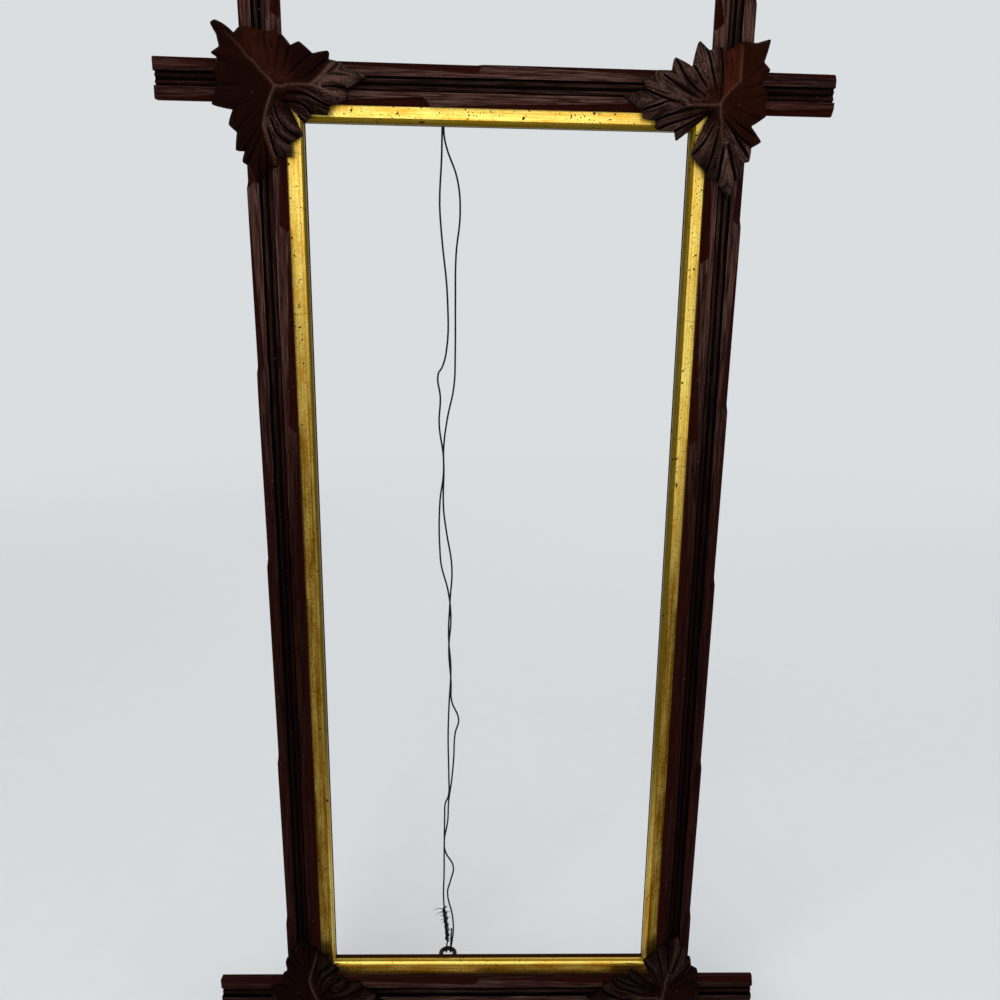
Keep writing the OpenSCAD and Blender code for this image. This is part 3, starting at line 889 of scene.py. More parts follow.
@dataclass
class CarvedBar:
    """One walnut bar: reeded channel, chip-carved arrises, rebate, half-laps.

    In the bar's own axes u goes out from the inner arris, y goes back from the front, and t runs
    up a stile or to the left on a rail. Stops are shares of half the opening along the bar.
    """

    sizes: FrameSizes
    node: str
    run: Run
    mirrored: bool
    inner_stops: tuple[float, ...]
    outer_stops: tuple[float, ...]
    inner_band: float = 6.8 * MM
    outer_band: float = 6.4 * MM
    channel_d: float = 3.4 * MM
    reeds: int = 2
    reed_r: float = 1.1 * MM
    lip_t: float = 5.2 * MM
    lip_w: float = 3.2 * MM
    bevel: float = 12.0 * MM
    chip_w: float = 4.5 * MM
    chip_d: float = 3.5 * MM
    chip_slant: float = 4.0 * MM
    chip_tint: float = 6.0
    scoop: tuple[float, ...] = (0.25, 0.5, 0.75, 1.0)
    scoop_curve: float = 1.2
    inner_dips: Pair = (0.35, 0.7)
    outer_dips: Pair = (0.3, 0.65)
    arris_r: float = 0.38 * MM
    end_ease: float = 0.7 * MM
    back_r: float = 0.6 * MM
    station: float = 4.0 * MM
    wobble: float = 0.09 * MM
    hair: float = 0.001 * MM
    step_gap: float = 0.2 * MM
    reed_turns: int = 7
    waves: float = 55.0
    nick_waves: float = 130.0
    nick_least: float = 0.25
    nick_size: float = 1.6
    lane_gap: float = 3.1
    seed_gap: float = 0.37
    crease: float = 30.0

    def __post_init__(self) -> None:
        """Works out the bar's own lengths."""
        stile = self.run is Run.STILE
        s = self.sizes
        self.end = s.end_z if stile else s.end_x
        self.cross = s.cross_z if stile else s.cross_x
        self.half_sight = s.sight_z if stile else s.sight_x
        self.inner = self._chips(self.inner_stops)
        self.outer = self._chips(self.outer_stops)
        self.seed = sum(map(ord, self.node)) * self.seed_gap

    def _chips(self, stops: Sequence[float]) -> list[Pair]:
        """Gives each chamfer's start and stop along the bar."""
        ends = [share * self.half_sight for share in stops]
        return list(zip([self.end + self.chip_slant, *ends], ends))

    def _cut(self, chips: Sequence[Pair], t: float) -> float:
        """Gives the chamfer's share of its full size at one place along the bar.

        Args:
            chips: Each chamfer's start and stop.
            t: The place along the bar.

        Returns:
            The share, from 0 to 1.
        """
        share = 0.0
        for start, stop in chips:
            if stop <= t <= start:
                share = max(share, (start - t) / (start - stop))
            elif stop - self.chip_slant <= t < stop:
                share = max(share, 1 - ((stop - t) / self.chip_slant) ** self.scoop_curve)
        return share

    def _noise(self, t: float, lane: float, waves: float | None = None) -> float:
        """Gives smooth noise along the bar, from about -1 to 1, that differs from lane to lane."""
        return noise.noise(Vector((t * (waves or self.waves), lane * self.lane_gap + self.seed, self.seed)))

    def _arris(self, share: float, t: float, lane: float) -> tuple[float, float, Pair]:
        """Gives a chamfer's two legs and its middle, rounded where the arris isn't cut.

        Args:
            share: The chamfer's share of its full size.
            t: The place along the bar.
            lane: The arris's own lane of noise.

        Returns:
            The legs across and down, and the middle's u and y.
        """
        nick = max(0.0, self._noise(t, lane + 0.5, self.nick_waves) - self.nick_least)
        least = self.arris_r * (1 + 0.5 * self._noise(t, lane) + self.nick_size * nick)
        across = max(least, self.chip_w * share)
        down = max(least, self.chip_d * share)
        swell = 0.5 - 0.2 * max(0.0, 1 - (across - least) / (2 * self.arris_r))
        return across, down, (across * swell, down * swell)

    def section(self, t: float, probe: float) -> list[tuple[float, float, Strip, float]]:
        """Draws the bar's section at one place.

        Args:
            t: The place along the bar.
            probe: The same place, a hair to the side that the section stands for.

        Returns:
            For each corner, its u and y, what the strip after it is, and that strip's chamfer share.
        """
        width, thick, edge = self.sizes.bar_w, self.sizes.bar_t, self.arris_r
        cut_in, cut_out = self._cut(self.inner, probe), self._cut(self.outer, probe)
        in_u, in_y, in_mid = self._arris(cut_in, t, 0)
        out_u, out_y, out_mid = self._arris(cut_out, t, 1)
        left = self.inner_band + 0.8 * self.wobble * self._noise(t, 2)
        right = width - self.outer_band + 0.8 * self.wobble * self._noise(t, 3)
        drop = [self.wobble * (0.5 + 0.5 * self._noise(t, 4 + k)) for k in range(4)]
        lip = self.lip_w if abs(probe) < self.cross - width / 2 + self.lip_w else 0.0
        points = [
            (0.0, in_y, Strip.CHAMFER, cut_in),
            (*in_mid, Strip.CHAMFER, cut_in),
            (in_u, 0.0, Strip.FACE, 0.0),
            (lerp(in_u, left, self.inner_dips[0]), drop[0], Strip.FACE, 0.0),
            (lerp(in_u, left, self.inner_dips[1]), drop[1], Strip.FACE, 0.0),
            (left - edge, 0.0, Strip.ARRIS, 0.0),
            (left, edge, Strip.WALL, 0.0),
            (left, self.channel_d, Strip.WALL, 0.0),
        ]
        for i in range(self.reeds):
            centre = self.inner_band + (right - self.inner_band) * (i + 0.5) / self.reeds
            for k in range(self.reed_turns):
                turn = math.pi * k / (self.reed_turns - 1)
                u = centre - self.reed_r * math.cos(turn)
                y = self.channel_d - self.reed_r * math.sin(turn)
                points.append((u, y, Strip.REED if k < self.reed_turns - 1 else Strip.WALL, 0.0))
        points += [
            (right, self.channel_d, Strip.WALL, 0.0),
            (right, edge, Strip.ARRIS, 0.0),
            (right + edge, 0.0, Strip.FACE, 0.0),
            (lerp(right, width - out_u, self.outer_dips[0]), drop[2], Strip.FACE, 0.0),
            (lerp(right, width - out_u, self.outer_dips[1]), drop[3], Strip.FACE, 0.0),
            (width - out_u, 0.0, Strip.CHAMFER, cut_out),
            (width - out_mid[0], out_mid[1], Strip.CHAMFER, cut_out),
            (width, out_y, Strip.SIDE, 0.0),
            (width, thick - self.back_r, Strip.ARRIS, 0.0),
            (width - self.back_r, thick, Strip.BARE, 0.0),
        ]
        if abs(probe) > self.cross + width / 2:
            rise = (thick - self.lip_t) / self.bevel
            points += [
                (self.bevel + self.back_r, thick, Strip.SIDE, 0.0),
                (self.bevel - self.back_r, thick - self.back_r * rise, Strip.SIDE, 0.0),
                (self.hair, self.lip_t + self.hair, Strip.SIDE, 0.0),
                (0.0, self.lip_t, Strip.SIDE, 0.0),
            ]
        else:
            hidden = Strip.BARE if lip else Strip.SIDE
            points += [
                (lip + self.back_r, thick, hidden, 0.0),
                (lip, thick - self.back_r, hidden, 0.0),
                (lip, self.lip_t, hidden, 0.0),
                (0.0, self.lip_t, Strip.SIDE, 0.0),
            ]
        if abs(abs(probe) - self.cross) < width / 2:
            lap = thick / 2
            keep = min if self.run is Run.STILE else max
            points = [(u, keep(y, lap), kind, share) for u, y, kind, share in points]
        return points

    def _stations(self) -> list[Pair]:
        """Lists the places along the bar, each with the side that its section stands for.

        Returns:
            Pairs of a place and its probe, in order along the bar.
        """
        half = self.sizes.bar_w / 2
        steps = [self.cross - half, self.cross + half, self.cross - half + self.lip_w]
        steps += [-step for step in steps]
        places = {round(k * self.station, 7) for k in range(math.ceil(-self.end / self.station), 0)}
        eased = self.end - 0.8 * self.end_ease
        places |= {-place for place in places} | {0.0, -self.end, self.end, -eased, eased}
        for _, stop in self.inner + self.outer:
            scooped = [stop, *(stop - share * self.chip_slant for share in self.scoop)]
            places |= {place for place in scooped if abs(place) < self.end}
        clear = [place for place in places if all(abs(place - step) > self.step_gap for step in steps)]
        doubled = [(step, step + side * self.hair) for step in steps for side in (-1, 1)]
        return sorted([(place, place) for place in clear] + doubled, key=lambda pair: pair[1])

    def _place(self, u: float, y: float, t: float) -> Vector:
        """Turns the bar's own axes into the frame's.

        Args:
            u: Out from the inner arris.
            y: Back from the front.
            t: Along the bar.

        Returns:
            The place in the frame's axes.
        """
        s = self.sizes
        side = -1 if self.mirrored else 1
        if self.run is Run.STILE:
            return Vector((side * (s.bar_x + u), s.front_y + y, s.middle_z + t))
        return Vector((-t, s.front_y + y, s.middle_z + side * (s.bar_z + u)))

    def shape(self) -> bmesh.types.BMesh:
        """Lofts the sections into a closed shape with its zones painted.

        Returns:
            The bar's shape.
        """
        bm = bmesh.new()
        layer = bm.loops.layers.float_color.new(ZONE)
        rows = []
        for t, probe in self._stations():
            drawn = self.section(t, probe)
            spots = [self._place(u, y, t) for u, y, _, _ in drawn]
            if abs(t) == self.end:
                middle = self._place(self.sizes.bar_w / 2, self.sizes.bar_t / 2, t)
                spots = [spot + self.end_ease * (middle - spot).normalized() for spot in spots]
            rows.append((drawn, [bm.verts.new(spot) for spot in spots]))
        for (low, low_verts), (high, high_verts) in zip(rows, rows[1:]):
            for k, (_, _, kind, low_cut) in enumerate(low):
                after = (k + 1) % len(low)
                face = bm.faces.new((low_verts[k], low_verts[after], high_verts[after], high_verts[k]))
                for loop, cut in zip(face.loops, (low_cut, low_cut, high[k][3], high[k][3])):
                    loop[layer] = self._zone(kind, cut)
        for _, verts in (rows[0], rows[-1]):
            for loop in bm.faces.new(verts).loops:
                loop[layer] = Strip.END.value
        bmesh.ops.remove_doubles(bm, verts=bm.verts, dist=2 * self.hair)
        bmesh.ops.dissolve_degenerate(bm, edges=bm.edges, dist=self.hair)
        bmesh.ops.recalc_face_normals(bm, faces=bm.faces)
        return bm

    def _zone(self, kind: Strip, cut: float) -> Tint:
        """Gives a strip's zone colour, with a chamfer's share in red in place of its arris.

        Args:
            kind: What the strip is.
            cut: The chamfer's share there.

        Returns:
            The zone colour.
        """
        if kind is not Strip.CHAMFER:
            return kind.value
        share = min(1.0, cut * self.chip_tint)
        return share, 0.0, 1 - share, 0.0

    def make(self, bench: Bench) -> bpy.types.Object:
        """Makes the bar's piece."""
        made = bench.piece(f"carved_{self.node}", self.shape(), BAR_VARNISH[self.run], self.crease)
        return bench.settle(made, "walnut", self.node)


@dataclass(frozen=True)
class LeafDesign:
    """How a leaf is carved, in millimetres.

    In the leaf's own axes a goes along the rail and b along the stile, both from the vein junction
    towards the opening.

    Attributes:
        outline: The teeth's tips and notches by turns, in order round the leaf.
        veins: The raised veins, each with its height.
        grooves: The grooves from the rim inward, each with its depth.
        hollow: The part beside the opening that is cut lower.
        sink: How much lower it is cut.
        varnished: The part with whole varnish.
        light: The part of it that is painted lighter, as painted light on the face that turns towards the
            light.
        soft: How softly that part ends.
        tones: How light it is painted there and in the rest of the varnished part.
    """

    outline: Line
    veins: tuple[Cut, ...]
    grooves: tuple[Cut, ...]
    hollow: Line
    sink: float
    varnished: Line
    light: Line
    soft: float
    tones: Pair


RIGHT_LEAF = LeafDesign(
    outline=(
        (50, -3.5), (38.5, -7), (40.5, -11), (36, -12.5), (33.5, -16), (25.5, -16), (24.5, -22.5), (15, -18),
        (12.5, -30.5), (7, -26), (1, -28), (-1.5, -25), (-9.5, -30.5), (-17, -30), (-24, -32), (-21.5, -21),
        (-25, -17.5), (-20.5, -11), (-25, -5.5), (-23, -1), (-24.5, 5), (-17, 10), (-23, 17.5), (-18, 20.5),
        (-17.5, 27.5), (-14.5, 28), (-13, 36.5), (-10.5, 37), (-7.5, 46), (-1.5, 37.5), (3, 36.5), (6, 31.5),
        (13.5, 24.5), (4, 3.5), (21.5, 18), (22.5, 13), (32.5, 12.5), (32.5, 8), (39.5, 7), (39.5, 3.5),
    ),
    veins=(
        (0.7, ((0.5, 0), (5, 0.5), (9.5, 0.5), (15.5, 0.5))),
        (0.25, ((15.5, 0.5), (22.5, -0.5), (33, -1), (47, -2.5))),
        (0.7, ((0.5, 0), (0, 5), (-1, 9), (-1, 13.5), (-2.5, 18.5))),
        (0.3, ((-2.5, 18.5), (-4.5, 26), (-6.5, 36), (-7.5, 44))),
        (0.6, ((0.5, -0.5), (-4, -6.5), (-9, -11))),
        (0.5, ((-9, -11), (-9, -18.5), (-9, -28.5))),
    ),
    grooves=(
        (1.6, ((1.5, -27), (0.5, -18.5), (0, -9.5), (0.5, -2.5))),
        (1.5, ((9, -27), (7, -21.5), (4, -10.5), (2.5, -5))),
        (1.0, ((14.5, -18), (11.5, -13), (8, -8.5))),
        (1.5, ((23.5, -20.5), (20, -14.5), (15, -8.5), (8.5, -4))),
        (1.2, ((30, -13.5), (19.5, -7), (11.5, -3))),
        (1.6, ((39, -6.5), (33, -4), (24.5, -1.5), (19, 0))),
        (1.6, ((39.5, 3), (33, 1), (27, -1), (21.5, 0))),
        (1.4, ((32.5, 8), (26.5, 5.5), (15.5, 2.5), (6, 1.5))),
        (1.4, ((31, 12), (23.5, 9), (14, 6), (6.5, 3))),
        (1.2, ((22.5, 13), (16, 9.5), (10.5, 6.5), (5, 3.5))),
        (1.4, ((-16, 25), (-8, 14.5), (-2, 6.5))),
        (0.8, ((-18, 14), (-11.5, 10.5), (-4.5, 5))),
        (1.6, ((-10.5, 37), (-7.5, 28), (-5, 19.5))),
        (1.6, ((-1.5, 37.5), (-2, 28.5), (-3, 19.5))),
        (1.3, ((5, 33), (2, 22), (0.5, 12))),
        (1.3, ((12, 24), (7, 18), (2.5, 9))),
        (1.2, ((-18, 20.5), (-10.5, 15), (-3.5, 7.5))),
        (0.5, ((-22.5, 6.5), (-14.5, 4.5), (-7, 1.5))),
        (0.5, ((-24, -5.5), (-15.5, -3.5), (-7.5, -1.5))),
        (0.5, ((-20.5, -11), (-14, -8), (-9, -5.5))),
        (0.5, ((-21.5, -21), (-16.5, -16), (-12, -12))),
    ),
    hollow=(
        (0.5, 0), (5, 0.5), (15.5, 0.5), (22.5, -0.5), (33, -1), (55, -3), (55, 50), (-8, 50), (-6.5, 36),
        (-4.5, 26), (-2.5, 18.5), (-1, 13.5), (-1, 9), (0, 5),
    ),
    sink=1.8,
    varnished=(
        (0.5, -2.5), (0, -9.5), (0.5, -18.5), (1.5, -30), (-10, -38), (-34, -38), (-34, 24), (-17, 21),
        (-10.5, 15), (-3.5, 7.5), (-0.5, 1),
    ),
    light=((0.5, -2.5), (0, -9.5), (0.5, -18.5), (1.5, -30), (-9, -36), (-9, -11), (-4, -6.5)),
    soft=1.2,
    tones=(0.7, 0.22),
)
LEFT_LEAF = LeafDesign(
    outline=(
        (46, -6.5), (38, -9), (31.5, -13), (26.5, -14), (27, -18), (19, -16.5), (12.5, -22), (8, -20),
        (2, -27), (-4.5, -26), (-16.5, -28.5), (-20, -25), (-24.5, -29),
        (-29, -31), (-31.5, -29.5), (-28.5, -24), (-27.5, -18.5), (-32, -15.5), (-29, -13.5),
        (-31, -7), (-29.5, -1), (-33, 9), (-22.5, 11), (-25, 18.5), (-21, 22), (-22, 31), (-17.5, 31),
        (-19, 36.5), (-16.5, 38), (-11.5, 47), (-6, 39), (-1.5, 38.5), (-1, 33), (6, 33.5), (5.5, 26.5),
        (12.5, 22.5), (3.5, 5.5), (13.5, 17), (17, 12), (25, 12.5), (26.5, 8), (36, 4.5), (35, 0),
    ),
    veins=(
        (0.8, ((0, -0.5), (3.5, 0), (7, -1), (13, -1.5), (18, -1.5), (21.5, -4), (25, -7.5), (28.5, -11.5))),
        (0.35, ((18, -1.5), (25.5, -3.5), (34.5, -5), (43, -6))),
        (0.5, ((18, -1.5), (24, 0.5), (29.5, 3), (34.5, 4.5))),
        (0.8, ((0, 0), (-2.5, 5.5), (-4.5, 10.5), (-6, 16), (-6.5, 18.5), (-5.5, 23.5), (-3.5, 30),
               (-1.5, 37.5))),
        (0.6, ((0, -0.5), (-2.5, -3.5), (-6.5, -7.5), (-10, -11.5), (-13, -14), (-17, -19), (-23.5, -25))),
    ),
    grooves=(
        (1.6, ((35, -0.5), (28.5, -1), (24, -0.5))),
        (1.5, ((26.5, 8), (22.5, 6.5), (15, 3), (8, 2.5), (3, 3.5))),
        (1.4, ((17, 12), (15.5, 9.5), (11, 7), (5, 6.5), (1.5, 6.5))),
        (1.2, ((13.5, 15.5), (7.5, 11.5), (3, 9))),
        (1.4, ((10, 23), (4.5, 20), (0.5, 14.5), (-1, 8))),
        (1.4, ((5.5, 27), (0, 22.5), (-3, 15))),
        (1.2, ((-1, 33), (-2.5, 27), (-4.5, 20))),
        (0.45, ((-4.5, -26), (-3.5, -18), (-2, -10))),
        (0.5, ((4, -25.5), (2.5, -18), (0.5, -9))),
        (0.6, ((8, -20), (6.5, -13.5), (3.5, -6))),
        (0.8, ((19, -16.5), (12.5, -11), (6, -5))),
        (0.9, ((26.5, -14), (20, -8.5), (14, -4))),
        (0.5, ((-29, -13), (-21.5, -10.5), (-14.5, -8.5))),
        (0.5, ((-29.5, -1), (-19.5, -0.5), (-10, -0.5))),
        (0.5, ((-22.5, 11), (-15, 7.5), (-7, 4))),
        (0.5, ((-21, 22), (-15.5, 16.5), (-8.5, 9.5))),
        (0.7, ((-17.5, 31), (-12.5, 24.5), (-7.5, 16))),
        (0.8, ((-16.5, 38), (-12, 30.5), (-7.5, 21.5))),
        (0.9, ((-6, 39), (-5.5, 32), (-6.5, 25.5))),
        (0.7, ((-9.5, 43), (-9.5, 37), (-8, 28.5))),
    ),
    hollow=(
        (0, -0.5), (3.5, 0), (7, -1), (13, -1.5), (18, -1.5), (24, 0.5), (29.5, 3), (42, 7), (42, 45),
        (-1, 45), (-1.5, 37.5), (-3.5, 30), (-5.5, 23.5), (-6.5, 18.5), (-6, 16), (-4.5, 10.5), (-2.5, 5.5),
    ),
    sink=2.2,
    varnished=(
        (17, -1.5), (23, -6), (29, -13), (30, -24), (-5, -34), (-40, -38), (-40, 16), (-32, 52), (-1, 52),
        (-1.5, 37.5), (-3.5, 30), (-6.5, 18.5), (-4.5, 10.5), (-2.5, 5.5), (0, 0),
    ),
    light=((0, -0.5), (-6.5, -7.5), (-13, -14), (-17, -19), (-14, -34), (2, -30), (5, -16), (9, -2)),
    soft=3.5,
    tones=(0.34, 0.09),
)


@dataclass
class Carving:
    """What a leaf's surface is like at each of many places.

    Attributes:
        height: Its height above the bars, in millimetres.
        groove: How much of a groove it is, from 0 to 1, which is painted dark as its shade.
        vein: How much of a vein it is, from 0 to 1.
        gloss: How whole the varnish is, from 0 to 1.
        light: How light it is painted, from 0 to 1: the varnish's tone with painted light and shade on it.
        lane: Its distance from the nearest groove, in centimetres.
    """

    height: np.ndarray
    groove: np.ndarray
    vein: np.ndarray
    gloss: np.ndarray
    light: np.ndarray
    lane: np.ndarray


@dataclass
class CarvedLeaf:
    """One carved leaf on a crossing, as a height over a mesh that follows its veins and grooves."""

    sizes: FrameSizes
    node: str
    right: bool
    top: bool
    design: LeafDesign
    junction: Pair
    # How much of the painted light from above the leaf gets: the lower leaves are painted darker.
    top_light: float
    edge_h: float = 4.3
    crown: float = 7.3
    shoulder: float = 4.0
    least_h: float = 1.6
    rim_step: float = 0.8
    line_step: float = 0.5
    lanes: tuple[float, ...] = (0.0, 0.45, -0.45, 0.95, -0.95)
    web: float = 1.05
    apart: float = 0.4
    vein_w: float = 0.6
    groove_w: float = 0.7
    vein_fade: float = 0.75
    vein_full: float = 0.8
    groove_run: float = 1.15
    groove_fade: float = 0.8
    groove_full: float = 0.9
    core_cut: float = 0.75
    flank_cut: float = 0.65
    core_shade: float = 1.6
    flank_shade: float = 0.12
    hollow_run: Pair = (0.2, 5.0)
    # Painted shade in the hollow, away from the veins, and on the dull part near the junction.
    hollow_shade: float = 0.35
    hollow_shade_run: Pair = (0.2, 2.0)
    near_shade: float = 0.5
    middle: Pair = (4.0, 20.0)
    flank_w: float = 4.2
    wave: float = 0.3
    wave_rate: float = 0.16
    tooth_full: float = 0.02
    tooth_fullest: float = 0.25
    rim_drop: float = 0.6
    rim_round: float = 0.5
    gloss_soft: float = 1.2
    gloss_near: float = 0.75
    merge: float = 1e-5
    crease: float = 42.0
    # The cut edge and the back take the leaf's painted shade in alpha.
    edge_tints: tuple[Tint, Tint] = ((0.0, 0.3, 0.0, 1.0), (0.1, 0.1, 0.0, 1.0))
    back_tints: tuple[Tint, Tint] = ((0.0, 0.0, 0.0, 0.4), (0.1, 0.2, 0.0, 1.0))

    def __post_init__(self) -> None:
        """Draws the rim and the lines that the mesh follows."""
        self.rim = self._rim()
        self.closed_rim = np.vstack((self.rim, self.rim[:1]))
        self.veins = [(height, even_line(line, self.line_step)) for height, line in self.design.veins]
        self.grooves = [(depth, even_line(line, self.line_step)) for depth, line in self.design.grooves]
        self.seed = sum(map(ord, self.node)) * 0.11
        # Random painted light and shade for the two sides of each groove, standing in for lit and shaded
        # facets.
        self.facet_shading = np.random.default_rng(len(self.node)).uniform(0.3, 1.0, (len(self.grooves), 2))

    def _rim(self) -> np.ndarray:
        """Draws the outline with slightly full teeth and eased tips.

        Returns:
            Its points, one in each row.
        """
        corners = np.array(self.design.outline, dtype=float)
        after = np.roll(corners, -1, axis=0)
        turn = np.sign(np.sum(corners[:, 0] * after[:, 1] - after[:, 0] * corners[:, 1]))
        rows = []
        for start, end in zip(corners, after):
            span = end - start
            length = float(np.linalg.norm(span))
            out = turn * np.array((span[1], -span[0])) / length
            count = max(2, round(length / self.rim_step))
            share = np.arange(count)[:, None] / count
            full = min(self.tooth_full * length, self.tooth_fullest)
            rows.append(start + share * span + out * full * 4 * share * (1 - share))
        rim = np.vstack(rows)
        return 0.5 * rim + 0.25 * (np.roll(rim, 1, axis=0) + np.roll(rim, -1, axis=0))

    def _spots(self) -> list[Vector]:
        """Lists the mesh's points: the rim's first, then lanes beside the lines, then a web between.

        Returns:
            The points in the leaf's axes.
        """
        wanted = []
        for _, line in self.veins + self.grooves:
            way = np.gradient(line, axis=0)
            side = np.stack((way[:, 1], -way[:, 0]), axis=1) / np.linalg.norm(way, axis=1)[:, None]
            wanted += [line + lane * side for lane in self.lanes]
        low, high = self.rim.min(axis=0), self.rim.max(axis=0)
        rows = np.arange(low[1], high[1], self.web * math.sqrt(0.75))
        for i, b in enumerate(rows):
            a = np.arange(low[0] + (i % 2) * self.web / 2, high[0], self.web)
            wanted.append(np.stack((a, np.full_like(a, b)), axis=1))
        places = np.vstack(wanted)
        gaps, _ = near_line(places, self.closed_rim)
        cells: dict[tuple[int, int], list[np.ndarray]] = {}
        kept = []
        for place in places[within(places, self.rim) & (gaps > self.apart)]:
            column, row = int(place[0] // self.apart), int(place[1] // self.apart)
            around = [cells.get((column + i, row + k), ()) for i in (-1, 0, 1) for k in (-1, 0, 1)]
            if all(math.dist(place, other) >= self.apart for cell in around for other in cell):
                cells.setdefault((column, row), []).append(place)
                kept.append(place)
        return [Vector(place) for place in (*self.rim, *kept)]

    def carve(self, places: np.ndarray) -> Carving:
        """Works out the carved surface.

        Args:
            places: Places in the leaf's axes, one in each row.

        Returns:
            The surface at each place.
        """
        rim, _ = near_line(places, self.closed_rim)
        height = self.crown - (self.crown - self.edge_h) * (1 - np.clip(rim / self.shoulder, 0, 1)) ** 2
        vein = np.zeros(len(places))
        raised = np.zeros(len(places))
        to_vein = np.full(len(places), np.inf)
        for rise, line in self.veins:
            gap, share = near_line(places, line)
            body = np.exp(-((gap / self.vein_w) ** 2)) * (1 - self.vein_fade * share)
            raised = np.maximum(raised, rise * body)
            vein = np.maximum(vein, body * rise / self.vein_full)
            to_vein = np.minimum(to_vein, gap)
        lane = np.full(len(places), np.inf)
        cut = np.zeros(len(places))
        groove = np.zeros(len(places))
        # Each place takes the painted light or shade of its side of the nearest groove.
        facet_shade = np.ones(len(places))
        for (depth, line), (left, right) in zip(self.grooves, self.facet_shading):
            gap, share = near_line(places, line)
            fade = np.clip(self.groove_run - share, 0, 1) ** self.groove_fade
            core = np.clip(1 - gap / self.groove_w, 0, 1)
            flank = np.clip(1 - gap / self.flank_w, 0, 1)
            cut = np.maximum(cut, depth * fade * (self.core_cut * core + self.flank_cut * flank))
            # The groove's painted shade: full in its core, faint on its flanks.
            groove_shade_share = np.clip(np.clip(self.core_shade * core, 0, 1) + self.flank_shade * flank, 0, 1)
            groove = np.maximum(groove, groove_shade_share * fade**0.5 * min(1.0, depth / self.groove_full))
            span, away = line[-1] - line[0], places - line[0]
            side = np.where(span[0] * away[:, 1] > span[1] * away[:, 0], left, right)
            facet_shade = np.where(gap < lane, side, facet_shade)
            lane = np.minimum(lane, gap)
        hollow = within(places, self.design.hollow)
        height -= self.design.sink * ease(to_vein, *self.hollow_run) * hollow
        height += raised - cut - self.rim_drop * np.clip(1 - rim / self.rim_round, 0, 1) ** 2
        rate = self.wave_rate
        waves = [noise.noise(Vector((a * rate, b * rate, self.seed))) for a, b in places]
        height += self.wave * np.array(waves)
        near = 1 - ease(np.linalg.norm(places, axis=1), *self.middle)
        whole_gloss = self._share_of(places, self.design.varnished, self.gloss_soft)
        gloss = np.maximum(whole_gloss, self.gloss_near * near)
        # Painted light: the light part of the varnished face is painted lighter, as if it turned towards the
        # light.
        thin, whole = self.design.tones
        thin = whole + (thin - whole) * self._share_of(places, self.design.light, self.design.soft)
        # Painted shade: the hollow and the dull part near the junction are painted darker, where shade falls.
        hollow_shading = self.hollow_shade * hollow * ease(to_vein, *self.hollow_shade_run)
        dull = facet_shade * (1 - self.near_shade * near) * (1 - hollow_shading)
        # The tone takes the painted light from above, so the lower leaves are painted darker.
        return Carving(
            height=np.maximum(height, self.least_h),
            groove=groove,
            vein=vein,
            gloss=gloss,
            light=(gloss * thin + (1 - gloss) * dull) * self.top_light,
            lane=lane / MM_PER_CM,
        )

    @staticmethod
    def _share_of(places: np.ndarray, ring: Line, soft: float) -> np.ndarray:
        """Gives 1 well inside a ring and 0 well outside, with a soft border."""
        gaps, _ = near_line(places, np.array((*ring, ring[0]), dtype=float))
        return ease(np.where(within(places, ring), gaps, -gaps), -soft, soft)

    def place(self, a: float, b: float, height: float) -> Vector:
        """Turns the leaf's own axes into the frame's.

        Args:
            a: Along the rail, in millimetres.
            b: Along the stile.
            height: Out from the bars' front.

        Returns:
            The place in the frame's axes, in metres.
        """
        s = self.sizes
        a, b = (a + self.junction[0]) * MM, (b + self.junction[1]) * MM
        across, up = (1 if self.right else -1), (1 if self.top else -1)
        return Vector((across * (s.cross_x - a), s.front_y - height * MM, s.middle_z + up * (s.cross_z - b)))

    def over(self, spot: Pair) -> Vector:
        """Gives the place on the carved surface over one spot of the crossing."""
        own = np.subtract(spot, self.junction)
        return self.place(*own, float(self.carve(own[None, :]).height[0]))

    def shape(self) -> bmesh.types.BMesh:
        """Meshes the carved surface, its edge and its flat back.

        Returns:
            The leaf's closed shape, with its zones painted.
        """
        ring = [list(range(len(self.rim)))]
        spots, _, faces, *_ = geometry.delaunay_2d_cdt(self._spots(), [], ring, 1, self.merge)
        cut = self.carve(np.array([tuple(spot) for spot in spots]))
        bm = bmesh.new()
        zone, carve = (bm.loops.layers.float_color.new(name) for name in (ZONE, CARVE))
        verts = [bm.verts.new(self.place(*spot, h)) for spot, h in zip(spots, cut.height)]
        tints = list(zip(cut.groove.tolist(), cut.gloss.tolist(), cut.vein.tolist()))
        lanes = list(zip(cut.light.tolist(), cut.lane.tolist()))
        for corners in faces:
            for loop, k in zip(bm.faces.new([verts[k] for k in corners]).loops, corners):
                loop[zone], loop[carve] = (*tints[k], 0.0), (*lanes[k], 0.0, 1.0)
        edges = [[vert.index for vert in edge.verts] for edge in self._rim_edges(bm)]
        feet = {k: bm.verts.new(self.place(*spots[k], 0.0)) for edge in edges for k in edge}
        for start, end in edges:
            for loop in bm.faces.new((verts[start], verts[end], feet[end], feet[start])).loops:
                loop[zone], loop[carve] = self.edge_tints
        numbers = list(feet)
        links = [(numbers.index(start), numbers.index(end)) for start, end in edges]
        _, _, back, *_ = geometry.delaunay_2d_cdt([spots[k] for k in numbers], links, [], 1, self.merge)
        for corners in back:
            for loop in bm.faces.new([feet[numbers[k]] for k in corners]).loops:
                loop[zone], loop[carve] = self.back_tints
        bmesh.ops.recalc_face_normals(bm, faces=bm.faces)
        return bm

    @staticmethod
    def _rim_edges(bm: bmesh.types.BMesh) -> list[bmesh.types.BMEdge]:
        """Lists the edges that have one face, with the points numbered."""
        bm.verts.index_update()
        return [edge for edge in bm.edges if edge.is_boundary]

